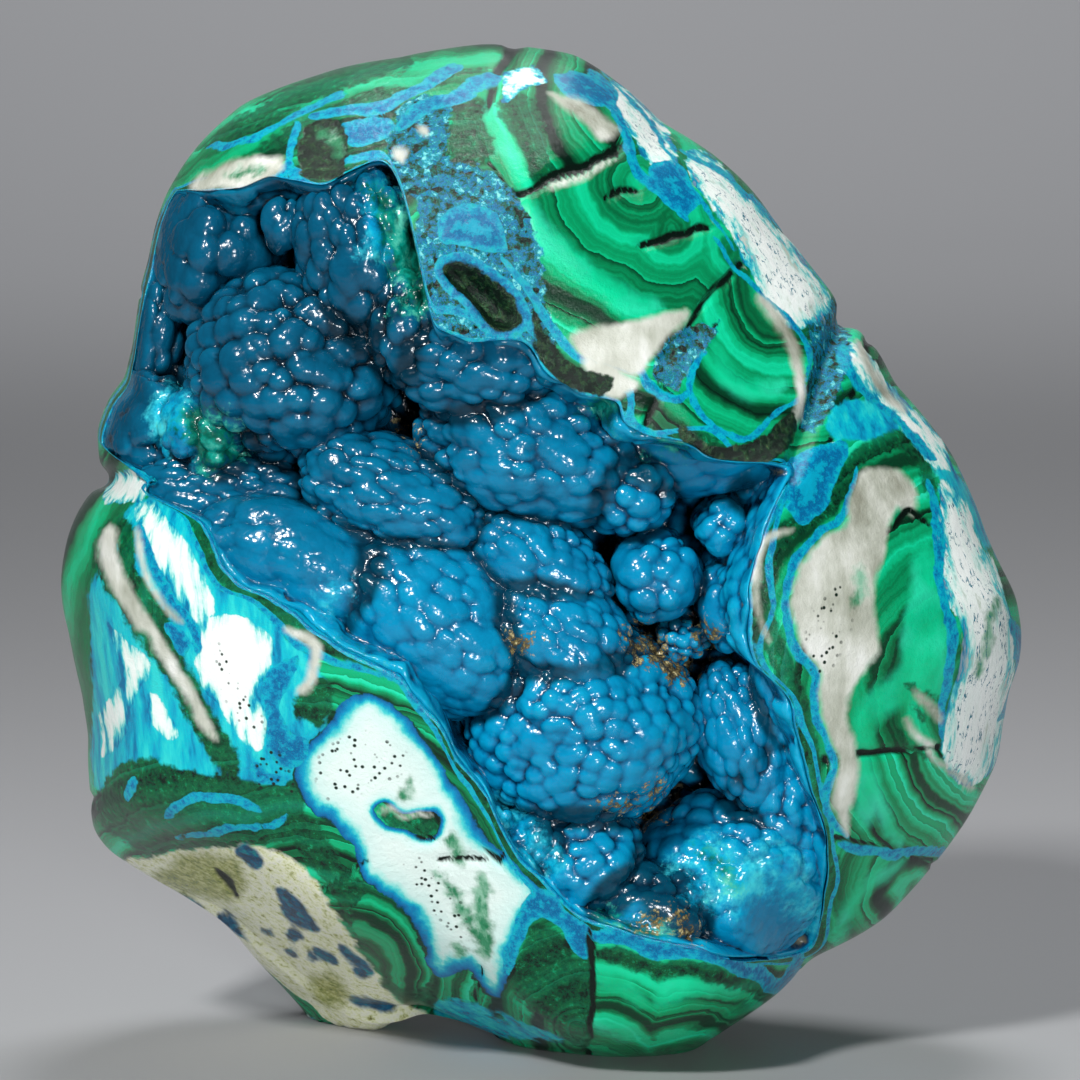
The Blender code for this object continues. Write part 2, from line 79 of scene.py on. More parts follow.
# The dome's depths and the vug's floor; the power of the dome, and how much higher it is about the
# foot, at what angle and how far to each side.
form = {"front": 30.0, "back": 26.0, "floor": -2.0, "power": 2.6, "footPower": 4.5, "footAngle": -1.18,
        "footSpread": 0.24}
rearFoot = {"angle": -1.90, "spread": 0.25, "share": 0.83, "width": 0.16, "drop": 11.8}

# Widest section of the stone, clockwise from its top.
outline = [
    (-5.3, 100.7), (0.0, 100.3), (3.2, 99.7), (7.1, 97.2), (11.9, 92.9), (17.2, 89.5), (20.1, 87.0),
    (23.1, 83.3), (26.2, 79.5), (28.8, 76.2), (30.3, 73.4), (33.7, 70.0), (35.3, 66.7), (38.7, 62.8),
    (40.8, 60.0), (43.4, 54.9), (44.6, 51.6), (46.1, 48.6), (47.7, 45.5), (48.3, 41.5), (48.1, 38.8),
    (47.1, 36.0), (46.3, 31.9), (45.7, 28.5), (44.2, 25.4), (42.8, 22.5), (41.0, 19.7), (38.5, 16.6),
    (35.0, 12.9), (31.0, 10.3), (27.2, 8.5), (24.4, 5.6), (22.1, 4.0), (19.8, 2.5), (17.7, 1.2), (15.2, 0.0),
    (10.7, -0.4), (4.0, -0.3), (-2.3, 0.0), (-4.7, 0.9), (-8.3, 2.1), (-12.2, 3.8), (-16.8, 3.3),
    (-20.9, 2.4), (-24.3, 3.3), (-26.3, 5.7), (-28.3, 8.8), (-30.3, 11.2), (-33.0, 13.5), (-36.9, 14.9),
    (-40.5, 16.3), (-44.2, 18.4), (-45.4, 21.2), (-45.4, 25.7), (-45.6, 31.4), (-46.3, 35.5), (-47.5, 42.0),
    (-48.3, 47.1), (-47.5, 51.4), (-46.5, 53.8), (-44.0, 57.3), (-44.4, 62.2), (-43.2, 65.5), (-41.6, 67.5),
    (-41.0, 70.5), (-40.3, 74.6), (-39.2, 79.1), (-38.4, 83.0), (-37.4, 85.8), (-35.9, 88.2), (-33.8, 90.9),
    (-32.0, 92.7), (-29.8, 94.6), (-26.7, 96.0), (-23.0, 97.4), (-20.0, 98.4), (-14.2, 99.4), (-9.8, 100.2),
]
# Mouth of the vug as seen, clockwise from its top left corner, and its left side on the form.
opening = [
    (-37.3, 86.0), (-34.8, 86.3), (-30.3, 86.5), (-26.8, 87.7), (-24.8, 87.0), (-22.3, 86.5), (-19.8, 87.5),
    (-16.8, 89.0), (-14.6, 89.3), (-13.6, 86.5), (-12.8, 80.5), (-12.6, 76.0), (-11.2, 72.6), (-7.3, 71.0),
    (-2.3, 71.0), (-1.3, 70.5), (0.2, 68.0), (3.7, 65.5), (7.7, 65.0), (8.2, 63.0), (10.7, 61.5),
    (14.7, 60.5), (16.7, 59.0), (20.7, 58.7), (26.0, 58.8), (23.2, 55.5), (21.9, 52.5), (21.2, 49.5),
    (20.7, 45.5), (20.7, 40.5), (21.4, 38.5), (24.7, 35.5), (25.7, 31.5), (26.7, 26.5), (28.2, 22.5),
    (28.2, 18.5), (27.5, 12.5), (26.0, 9.7), (16.7, 10.2), (4.7, 13.0), (1.7, 15.0), (0.2, 17.5),
    (-2.3, 19.5), (-3.8, 21.5), (-5.3, 25.5), (-7.3, 27.5), (-8.8, 29.5), (-10.3, 32.5), (-12.8, 35.5),
    (-14.3, 37.5), (-18.3, 39.5), (-21.3, 41.5), (-24.3, 43.5), (-27.3, 45.5), (-30.3, 46.5), (-31.8, 48.5),
    (-32.8, 51.0), (-34.3, 53.5), (-35.3, 55.5), (-38.5, 57.0), (-43.4, 58.2),
]
openingLeft = [(-45.0, 61.5), (-45.0, 66.0), (-42.5, 72.0), (-41.0, 78.0), (-39.0, 84.0)]
# Nearly flat faces pressed into the dome: x, z, how deep, and which way they face.
facets = [
    (18.7, 79.5, 1.0, (0.59, -0.69, 0.42)),
    (10.0, 75.0, 0.8, (0.22, -0.93, 0.27)),
    (34.0, 45.5, 1.2, (0.44, -0.90, 0.02)),
    (-31.3, 21.0, 1.4, (-0.45, -0.50, -0.74)),
    (-37.3, 40.5, 1.0, (-0.50, -0.86, -0.10)),
    (-11.3, 20.5, 1.2, (-0.15, -0.93, -0.30)),
    (22.0, 64.0, 1.5, (0.50, 0.80, 0.30)),
    (-26.0, 58.0, 1.5, (-0.55, 0.80, 0.15)),
    (4.0, 28.0, 1.5, (0.10, 0.93, -0.36)),
    (-8.0, 80.0, 1.5, (-0.05, 0.84, 0.52)),
]
facetEdge = {"flatness": 0.86, "ease": 0.9}


def unit(values):
    return np.clip(values, 0.0, 1.0)


# The cubic ease from 0 to 1, level at both ends.
def eased(part):
    return part * part * (3.0 - 2.0 * part)


# Whole numbers of a cell and a seed are stirred into an even value from 0 to 1.
def cellValue(cell, seed):
    h = cell[:, 0] * 73856093 ^ cell[:, 1] * 19349663 ^ cell[:, 2] * 83492791 ^ (seed * 2654435 + 97)
    h = (h ^ (h >> 13)) * 1274126177 & 0xFFFFFFFF
    h = (h ^ (h >> 16)) * 668265263 & 0xFFFFFFFF
    return ((h ^ (h >> 15)) & 0xFFFFFF) / 16777215.0


# Smooth noise from -1 to 1: corner values of each cubic cell, blended by the cubic ease.
def smoothNoise(points, size, seed):
    scaled = points / size
    base = np.floor(scaled).astype(np.int64)
    ease = eased(scaled - base)
    total = 0.0
    for dx, dy, dz in np.ndindex(2, 2, 2):
        weight = np.abs(1 - dx - ease[:, 0]) * np.abs(1 - dy - ease[:, 1]) * np.abs(1 - dz - ease[:, 2])
        total = total + weight * cellValue(base + (dx, dy, dz), seed)
    return 2.0 * total - 1.0


# Noise of several sizes, each half as large and half as strong as the one before.
def layeredNoise(points, size, seed, layers):
    return sum(smoothNoise(points, size / 2 ** step, seed + step) / 2 ** step for step in range(layers))


# Distance to the nearest and the next nearest of points scattered one to a cubic cell.
def bubbleDistance(points, size, seed):
    scaled = points / size
    base = np.floor(scaled).astype(np.int64)
    near = np.full(len(points), 9.0)
    after = near
    for corner in np.ndindex(3, 3, 3):
        cell = base + corner - 1
        spot = np.stack([cellValue(cell, seed + k) for k in (0, 1, 2)], axis=1)
        away = np.linalg.norm(cell + spot - scaled, axis=1)
        after = np.minimum(after, np.maximum(near, away))
        near = np.minimum(near, away)
    return near * size, after * size


# A ring of values at even angles, softened by a bell curve over at most so many on each side.
def softened(ring, blur, most):
    offsets = np.arange(-most, most + 1)
    weights = np.exp(-0.5 * (offsets / blur) ** 2)
    return sum(w * np.roll(ring, o) for w, o in zip(weights / weights.sum(), offsets))


tableAngles = np.linspace(-math.pi, math.pi, 720, endpoint=False)


# Radius of an outline about the middle at the angles of the tables.
def polarTable(points, blur):
    spots = np.array(points, dtype=float)
    dx = spots[:, 0] - middle["x"]
    dz = spots[:, 1] - middle["z"]
    angle = np.arctan2(dz, dx)
    order = np.argsort(angle)
    radius = np.interp(tableAngles, angle[order], np.hypot(dx, dz)[order], period=fullTurn)
    return softened(radius, blur, 9)


def tableRadius(angle, table):
    return np.interp(angle, tableAngles, table, period=fullTurn)


outerTable = polarTable(outline, 1.5)
calmTable = softened(outerTable, 24, 72)  # only its broad swells are left


def outerRadius(angle):
    return tableRadius(angle, outerTable)


# Angle about the middle, and share of the way out to the widest section.
def polarPlace(x, z):
    angle = np.arctan2(z - middle["z"], x - middle["x"])
    return angle, np.hypot(z - middle["z"], x - middle["x"]) / outerRadius(angle)


# Depth of a superellipse dome at a share of the radius. Its power is higher about the foot, which
# makes it blunter there.
def domeDepth(angle, share, side):
    foot = np.exp(-((angle - form["footAngle"]) / form["footSpread"]) ** 4)
    power = form["power"] + form["footPower"] * foot
    front = form["front"] * np.power(unit(1.0 - share ** power), 0.62)
    back = form["back"] * np.power(unit(1.0 - share ** (power - 0.1)), 0.60)
    return np.where(side == inFront, -front, back)


# A point and the facing of each facet's plane.
def facetPlanes():
    planes = []
    for x, z, press, facing in facets:
        normal = np.array(facing) / np.linalg.norm(facing)
        angle, share = polarPlace(np.array([x]), np.array([z]))
        depth = domeDepth(angle, share, inFront if normal[1] < 0.0 else behind)[0]
        planes.append((np.array([x, depth, z]) - press * normal, normal))
    return planes


planes = facetPlanes()


# Outer skin: the dome, a rear left foot drawn down, and each facet pressing the dome nearly flat.
# Behind, the outline's dents fade out towards the middle.
def skinPoint(angle, share, side):
    outer = outerRadius(angle)
    calm = tableRadius(angle, calmTable)
    radius = share * np.where(side == behind, calm + (outer - calm) * share ** 4, outer)
    toward = np.exp(-(np.abs(angle - rearFoot["angle"]) / rearFoot["spread"]) ** 3)
    ring = np.exp(-(np.abs(share - rearFoot["share"]) / rearFoot["width"]) ** 3)
    drop = np.where(side == behind, rearFoot["drop"] * toward * ring, 0.0)
    points = np.stack([middle["x"] + radius * np.cos(angle), domeDepth(angle, share, side),
                       middle["z"] + radius * np.sin(angle) - drop], axis=1)
    for spot, normal in planes:
        over = (points - spot) @ normal
        pressed = facetEdge["flatness"] * facetEdge["ease"] * np.logaddexp(0.0, over / facetEdge["ease"])
        points -= np.outer(pressed, normal)
    return points


# The polished skin in front, at places on the face.
def facePoint(x, z):
    angle, share = polarPlace(x, z)
    return skinPoint(angle, np.minimum(share, 0.999), inFront)


# Carries seen places onto the form, by plain perspective: onto its skin, or so far behind it.
def carried(seenX, seenZ, sink):
    cosTilt, sinTilt = math.cos(look["tilt"]), math.sin(look["tilt"])
    alongX, alongZ = seenX - look["x"], seenZ - look["z"]
    x, z = seenX, seenZ
    for step in range(30):
        skin = facePoint(x, z)
        depth = skin[:, 1] + shift[1] + sink
        near = look["distance"] + depth * cosTilt
        rise = alongZ * near - look["distance"] * depth * sinTilt
        rise /= look["distance"] * cosTilt + alongZ * sinTilt
        toX = look["x"] + alongX * (near - rise * sinTilt) / look["distance"] - shift[0]
        toZ = look["z"] + rise
        if sink > 0.0:
            x, z = toX, toZ
        else:
            x, z = x + 0.7 * (toX - skin[:, 0]), z + 0.7 * (toZ - skin[:, 2])
    return x, z


# Where points of the frame are seen, by the same perspective.
def seenFrom(points):
    x = points[:, 0] - look["x"]
    z = points[:, 2] - look["z"]
    cosTilt, sinTilt = math.cos(look["tilt"]), math.sin(look["tilt"])
    away = look["distance"] + points[:, 1] * cosTilt - z * sinTilt
    scale = look["distance"] / away
    return look["x"] + x * scale, look["z"] + (points[:, 1] * sinTilt + z * cosTilt) * scale


seenMouth = np.array(opening)
mouthLine = np.stack(carried(seenMouth[:, 0], seenMouth[:, 1], 0.0), axis=1)
mouthTable = polarTable(np.concatenate([mouthLine, openingLeft]), 2.0)


# A flat ring of the given radii, as places for noise.
def flatRing(angle, radius):
    return np.stack([np.cos(angle), np.sin(angle), 0.0 * angle], axis=1) * radius[:, None]


# The mouth wavers by a few tenths of a millimetre where the crust broke along it, and leaves a
# least rim to the widest section.
mouthEdge = {"waver": 0.45, "size": 6.0, "rim": 0.9}


def mouthRadius(angle):
    radius = tableRadius(angle, mouthTable)
    waver = mouthEdge["waver"] * layeredNoise(flatRing(angle, radius), mouthEdge["size"], 5, 3)
    return np.minimum(radius + waver, outerRadius(angle) - mouthEdge["rim"])


# Angles that step evenly along the lengths of the mouth and the widest section.
def evenAngles(count):
    grid = np.linspace(-math.pi, math.pi, 7201)
    travel = np.zeros(len(grid) - 1)
    for table in (mouthTable, outerTable):
        radius = tableRadius(grid, table)
        travel += np.hypot(np.diff(radius * np.cos(grid)), np.diff(radius * np.sin(grid)))
    travel = np.concatenate([[0.0], np.cumsum(travel)])
    return np.interp(np.arange(count) / count * travel[-1], travel, grid)


# Points drawn in to a share of their way from the middle line, at new depths.
def drawnIn(points, share, depth):
    return np.stack([middle["x"] + (points[:, 0] - middle["x"]) * share, depth,
                     middle["z"] + (points[:, 2] - middle["z"]) * share], axis=1)


# Wall and floor of the vug: radius falls as a power of the cosine of the turn, depth as its sine,
# from 0 at the mouth to 1 at the middle of the floor.
def vugPoint(angle, turn, gap):
    mouth = mouthRadius(angle)
    rimShare = mouth / outerRadius(angle)
    rim = skinPoint(angle, rimShare, inFront)
    swing = unit(turn) * math.pi / 2.0
    across = np.power(unit(np.cos(swing)), 0.50 + 0.55 * unit((rimShare - 0.86) / 0.10))
    depth = rim[:, 1] + (form["floor"] - rim[:, 1]) * np.sin(swing) - gap * np.sin(swing)
    return drawnIn(rim, across * (1.0 - gap * np.sqrt(across + 1e-9) / np.maximum(mouth, 1.0)), depth)


def addMesh(name, points, faces):
    mesh = bpy.data.meshes.new(name)
    mesh.from_pydata(points, [], faces, shade_flat=False)
    thing = bpy.data.objects.new(name, mesh)
    bpy.context.scene.collection.objects.link(thing)
    return thing


# A closed mesh from rings of points: columns join round, and each end closes on one point.
def ringMesh(name, rings, first, last):
    rows, columns = rings.shape[:2]
    points = np.concatenate([[first], rings.reshape(-1, 3), [last]]) + shift
    index = 1 + np.arange(rows * columns).reshape(rows, columns)
    after = np.roll(index, -1, axis=1)
    quads = np.stack([index[:-1], after[:-1], after[1:], index[1:]], axis=-1).reshape(-1, 4)
    cap = np.stack([np.zeros(columns, int), after[0], index[0]], axis=1)
    tail = np.stack([np.full(columns, len(points) - 1), index[-1], after[-1]], axis=1)
    thing = addMesh(name, points * mm, quads.tolist() + cap.tolist() + tail.tolist())
    bm = bmesh.new()
    bm.from_mesh(thing.data)
    if bm.calc_volume(signed=True) < 0.0:
        bmesh.ops.reverse_faces(bm, faces=bm.faces)
        bm.to_mesh(thing.data)
    bm.free()
    return thing


def meshVectors(mesh, name):
    vectors = np.empty(len(mesh.vertices) * 3, dtype=np.float32)
    mesh.vertices.foreach_get(name, vectors)
    return vectors.reshape(-1, 3).astype(float)


def movePoints(mesh, points):
    mesh.vertices.foreach_set("co", (points * mm).astype(np.float32).ravel())
    mesh.update()


def storeValue(mesh, name, values):
    layer = mesh.attributes.new(name, "FLOAT", "POINT")
    layer.data.foreach_set("value", np.asarray(values, dtype=np.float32))


# Markings of the polished skin, in seen millimetres: patches are rounded outlines, cuts are taken
# out of them, and strokes are a half width and the points of a bent line.
patches = {
    "white": [
        [(-22.1, 30.7), (-18.3, 34.6), (-15.8, 34.0), (-13.1, 30.7), (-10.3, 26.2), (-7.3, 21.7),
         (-3.8, 18.2), (-1.5, 15.7), (-3.1, 13.7), (-4.0, 10.7), (-4.6, 6.7), (-5.5, 7.4), (-7.3, 9.4),
         (-9.1, 9.4), (-10.3, 8.7), (-11.1, 11.7), (-12.8, 14.7), (-15.8, 17.2), (-17.5, 18.7),
         (-18.1, 21.2), (-20.3, 23.7), (-22.5, 25.2), (-23.5, 28.2)],
    ],
    "ridge": [
        # the first, small one at the very top is a painted highlight: white where the polished top reflects
        # the light
        [(-3.8, 97.7), (-0.8, 98.4), (0.5, 97.2), (-2.3, 96.0), (-3.8, 95.4)],
        [(-41.0, 54.0), (-39.4, 54.8), (-38.2, 54.0), (-35.8, 50.8), (-33.7, 46.9), (-32.9, 44.4),
         (-33.2, 43.6), (-34.6, 42.2), (-35.8, 43.9), (-37.6, 46.9), (-39.3, 49.5), (-40.6, 51.8)],
        [(-33.6, 43.2), (-30.8, 43.8), (-28.3, 42.5), (-26.9, 40.0), (-28.2, 36.4), (-27.9, 33.2),
         (-28.2, 30.2), (-29.6, 30.6), (-32.1, 34.6), (-34.1, 37.5), (-34.5, 40.6)],
        [(-43.7, 42.8), (-42.1, 41.4), (-39.4, 39.5), (-39.1, 37.7), (-40.7, 35.3), (-41.9, 31.7),
         (-44.0, 29.3), (-43.9, 31.5), (-44.4, 33.9), (-42.2, 36.8), (-42.6, 39.8)],
        [(-39.2, 35.9), (-38.1, 35.1), (-36.8, 32.8), (-36.5, 31.5), (-37.6, 31.0), (-38.9, 32.6),
         (-39.3, 34.6)],
        [(-44.3, 57.2), (-41.3, 58.2), (-37.8, 57.4), (-39.3, 55.5), (-42.8, 54.7)],
        [(40.2, 57.2), (42.2, 54.7), (44.2, 50.7), (46.2, 46.2), (47.5, 41.2), (47.2, 36.2), (46.2, 31.2),
         (44.2, 27.2), (41.7, 26.7), (40.2, 29.2), (40.7, 35.2), (41.7, 41.2), (40.5, 45.2), (39.7, 49.2),
         (39.5, 53.2)],
        [(14.7, 90.2), (17.7, 88.7), (21.7, 84.7), (25.7, 80.2), (28.7, 75.2), (27.7, 73.2), (24.7, 72.2),
         (22.2, 74.2), (21.2, 77.2), (19.2, 81.2), (16.2, 85.2), (14.7, 87.7)],
        [(7.2, 97.2), (9.7, 95.7), (12.2, 92.2), (13.7, 88.7), (12.2, 87.7), (10.2, 89.2), (8.2, 92.2),
         (6.2, 95.2)],
    ],
    "aqua": [
        [(-45.5, 45.2), (-43.1, 51.2), (-40.8, 54.7), (-35.8, 55.2), (-30.8, 48.2), (-27.8, 45.2),
         (-24.3, 41.2), (-21.3, 35.2), (-24.3, 29.2), (-24.3, 26.2), (-30.3, 27.2), (-36.3, 27.7),
         (-40.3, 27.7), (-44.3, 26.2), (-45.1, 29.2), (-45.3, 35.2)],
        [(-11.3, 5.2), (-7.3, 4.7), (-2.3, 2.7), (2.2, 1.2), (-2.3, 1.0), (-7.3, 1.7), (-10.3, 3.2)],
        [(28.2, 62.7), (29.7, 64.7), (32.7, 65.2), (35.2, 63.4), (35.7, 61.7), (32.7, 61.2), (29.7, 61.2)],
    ],
    "rock": [
        [(-39.3, 19.4), (-31.3, 20.6), (-25.3, 19.4), (-22.3, 16.4), (-19.8, 12.7), (-17.8, 8.7),
         (-14.3, 4.9), (-11.3, 3.2), (-14.3, -2.0), (-34.3, -2.0), (-50.0, 14.0), (-44.3, 18.4)],
    ],
    "cream": [
        [(30.4, 53.0), (28.2, 51.6), (26.3, 48.9), (25.1, 45.4), (25.6, 41.7), (26.9, 39.3), (28.2, 37.9),
         (27.8, 35.7), (28.2, 33.2), (29.0, 31.2), (29.5, 28.3), (29.3, 25.0), (29.8, 23.0), (30.2, 21.4),
         (31.0, 25.2), (31.4, 28.3), (30.6, 34.0), (31.2, 36.5), (32.4, 38.1), (33.7, 40.5), (33.0, 43.8),
         (33.2, 47.1), (34.1, 50.3), (35.2, 54.0), (36.9, 53.6), (37.3, 55.7), (36.4, 57.6), (33.7, 58.4),
         (31.6, 57.6), (30.7, 55.2)],
        [(-35.3, 86.4), (-33.8, 88.2), (-30.8, 89.4), (-27.3, 89.9), (-25.8, 89.4), (-26.8, 87.7),
         (-29.3, 86.9), (-32.8, 86.2)],
        [(3.2, 71.7), (7.7, 72.7), (12.2, 73.7), (14.7, 74.2), (13.7, 72.2), (11.2, 69.7), (9.7, 67.7),
         (6.7, 68.2), (4.2, 70.2)],
        [(4.7, 69.7), (8.2, 67.7), (9.7, 66.7), (7.2, 65.4), (4.7, 67.2)],
        [(0.5, 95.7), (3.2, 95.7), (5.7, 94.2), (7.2, 92.2), (5.7, 91.2), (4.2, 93.2)],
    ],
    "blue": [
        [(-2.3, 14.7), (0.2, 16.2), (3.2, 13.7), (4.9, 12.2), (4.7, 9.2), (3.2, 9.7), (1.7, 12.2),
         (-0.3, 13.2), (-1.8, 11.7), (-3.1, 7.7), (-3.8, 9.2)],
        [(23.9, 55.2), (24.2, 58.2), (26.2, 60.2), (29.7, 61.2), (30.7, 60.2), (29.2, 57.7), (28.5, 54.7),
         (25.7, 52.7)],
        [(1.2, 97.7), (4.7, 98.2), (7.7, 95.7), (5.7, 94.7), (2.7, 95.7)],
        [(10.7, 88.2), (13.7, 88.7), (15.7, 85.2), (14.7, 83.7), (12.2, 84.7)],
        [(-10.3, 83.7), (-7.3, 84.9), (-4.5, 83.7), (-3.5, 80.7), (-5.3, 80.2), (-8.3, 80.7), (-10.3, 81.2)],
        [(-20.3, 92.7), (-16.8, 93.6), (-15.0, 93.0), (-15.8, 91.4), (-18.8, 90.5), (-20.3, 91.2)],
        [(-27.7, 37.5), (-25.8, 39.3), (-24.6, 39.3), (-25.2, 36.8), (-26.4, 34.3), (-25.2, 31.8),
         (-23.3, 31.2), (-23.6, 29.3), (-25.8, 28.4), (-27.4, 29.6), (-28.0, 33.1)],
    ],
    "inky": [
        [(-26.6, 16.3), (-24.9, 15.6), (-23.6, 13.8), (-22.4, 12.6), (-22.6, 11.9), (-24.1, 12.1),
         (-25.5, 12.7), (-26.3, 14.0)],
        [(-26.2, 6.2), (-24.3, 5.0), (-22.6, 3.4), (-20.8, 2.7), (-20.4, 1.6), (-24.5, 1.4), (-27.4, 4.4)],
    ],
    "dark": [
        [(-16.2, 23.6), (-15.2, 24.0), (-14.0, 23.2), (-12.6, 23.9), (-11.3, 23.8), (-10.9, 22.8),
         (-11.3, 21.7), (-12.5, 21.3), (-13.6, 22.2), (-15.2, 22.6)],
        [(-24.4, 35.8), (-22.4, 37.4), (-21.0, 36.0), (-21.6, 33.6), (-23.4, 32.8), (-24.6, 33.8)],
        [(-44.5, 25.2), (-42.5, 28.4), (-39.3, 29.4), (-36.8, 28.2), (-31.3, 27.7), (-27.8, 26.7),
         (-24.3, 27.2), (-23.8, 25.2), (-24.8, 21.2), (-29.3, 20.5), (-34.3, 20.2), (-39.3, 19.7),
         (-42.3, 21.2), (-44.1, 22.2)],
        [(-25.3, 25.2), (-22.3, 22.2), (-19.8, 18.2), (-18.3, 17.2), (-14.3, 15.2), (-11.3, 10.2),
         (-10.3, 6.2), (-11.3, 4.2), (-14.3, 5.2), (-17.3, 8.2), (-19.3, 12.2), (-21.3, 16.2),
         (-24.3, 20.2)],
        [(-1.8, 11.2), (-0.3, 12.7), (1.7, 11.7), (3.2, 9.2), (4.7, 8.7), (4.7, 0.7), (1.7, 1.7),
         (-0.8, 4.2), (-2.8, 6.2)],
        [(-8.8, 93.7), (-6.3, 96.2), (-5.8, 93.2), (-5.3, 90.2), (-6.3, 88.7), (-8.8, 89.2), (-9.5, 91.7)],
        [(-4.3, 95.7), (-2.3, 96.0), (-0.3, 94.2), (0.2, 90.2), (1.7, 87.7), (-0.8, 86.7), (-2.3, 90.2),
         (-4.3, 93.2)],
        [(27.2, 19.2), (29.6, 19.4), (28.9, 14.0), (28.2, 9.4), (27.2, 8.2)],
        [(-34.3, 90.2), (-31.3, 92.7), (-28.3, 93.7), (-24.3, 94.7), (-25.3, 93.7), (-29.8, 91.2)],
    ],
    "bright": [
        [(37.2, 49.2), (39.7, 49.7), (40.2, 41.2), (40.2, 35.2), (36.7, 35.2), (33.7, 33.2), (32.7, 29.2),
         (33.7, 25.2), (31.7, 22.2), (30.7, 29.2), (32.2, 35.2), (35.7, 39.2)],
    ],
    "mottle": [
        [(-15.5, 90.2), (-14.8, 93.7), (-11.8, 95.7), (-9.3, 94.2), (-9.3, 89.2), (-5.3, 88.2), (-2.3, 85.2),
         (-0.3, 81.2), (0.2, 76.2), (1.7, 71.2), (-0.3, 69.0), (-3.0, 70.5), (-12.0, 72.0), (-14.5, 76.2),
         (-13.3, 81.2), (-12.3, 85.2), (-14.3, 86.7)],
        [(11.2, 67.7), (12.2, 70.7), (15.2, 72.7), (17.5, 72.7), (16.2, 70.2), (14.7, 68.2), (13.2, 66.2)],
        [(26.5, 75.0), (29.5, 75.0), (31.0, 71.0), (29.5, 65.0), (26.5, 62.0), (27.0, 68.0)],
    ],
    "pore": [
        [(-10.1, 78.4), (-8.8, 79.0), (-6.3, 78.4), (-4.3, 76.7), (-2.5, 74.7), (-2.0, 73.0), (-3.8, 72.2),
         (-5.8, 73.0), (-7.3, 75.2), (-9.3, 76.9)],
        [(-0.8, 73.7), (1.2, 70.7), (4.7, 68.2), (7.2, 67.2), (5.7, 65.7), (1.7, 67.2), (-0.5, 70.2)],
        [(13.7, 63.2), (15.7, 61.2), (18.7, 60.7), (22.7, 62.2), (25.2, 63.7), (25.7, 61.2), (21.7, 58.7),
         (17.7, 58.4), (14.7, 59.7)],
        [(-23.8, 92.7), (-20.8, 93.2), (-19.8, 90.7), (-20.3, 87.7), (-22.8, 87.2), (-24.3, 88.7)],
    ],
    "olive": [
        [(-39.3, 17.2), (-35.3, 19.7), (-30.8, 19.2), (-29.8, 16.2), (-32.8, 15.2), (-36.8, 15.9)],
        [(-24.3, 6.2), (-21.3, 7.7), (-19.3, 5.2), (-21.3, 3.7), (-23.5, 4.0)],
    ],
    "speckle": [
        [(40.2, 57.2), (44.2, 50.7), (47.5, 41.2), (46.2, 31.2), (42.2, 26.2), (40.2, 31.2), (41.7, 41.2),
         (39.7, 49.2)],
        [(14.7, 90.2), (21.7, 84.7), (28.7, 75.2), (26.2, 73.2), (21.2, 77.2), (16.2, 85.2)],
        [(7.2, 97.2), (12.2, 92.2), (13.7, 88.7), (8.2, 92.2)],
    ],
    "dots": [
        [(-22.5, 29.2), (-19.3, 32.2), (-15.3, 31.2), (-13.3, 28.2), (-17.3, 26.2), (-21.3, 24.7)],
        [(-14.3, 18.2), (-11.3, 19.2), (-8.3, 15.2), (-8.0, 10.5), (-10.5, 13.0)],
        [(26.5, 43.0), (29.8, 47.5), (31.0, 43.0), (28.5, 37.5), (26.5, 38.5)],
        [(-33.0, 41.0), (-30.0, 38.0), (-28.0, 32.0), (-31.0, 34.0)],
        [(-28.5, 31.0), (-25.5, 29.5), (-24.5, 25.5), (-29.0, 26.5)],
    ],
}
cuts = {
    "white": [
        [(-17.5, 24.0), (-15.9, 25.3), (-14.1, 24.4), (-12.5, 24.9), (-10.7, 24.6), (-10.0, 23.0),
         (-10.9, 20.9), (-12.5, 20.6), (-13.9, 21.8), (-15.9, 22.2)],
    ],
    "dark": [
        [(-18.5, 15.2), (-15.8, 16.4), (-13.3, 14.7), (-11.5, 11.2), (-11.1, 7.7), (-12.8, 6.2),
         (-15.3, 6.7), (-17.8, 9.2), (-18.8, 12.2)],
    ],
}
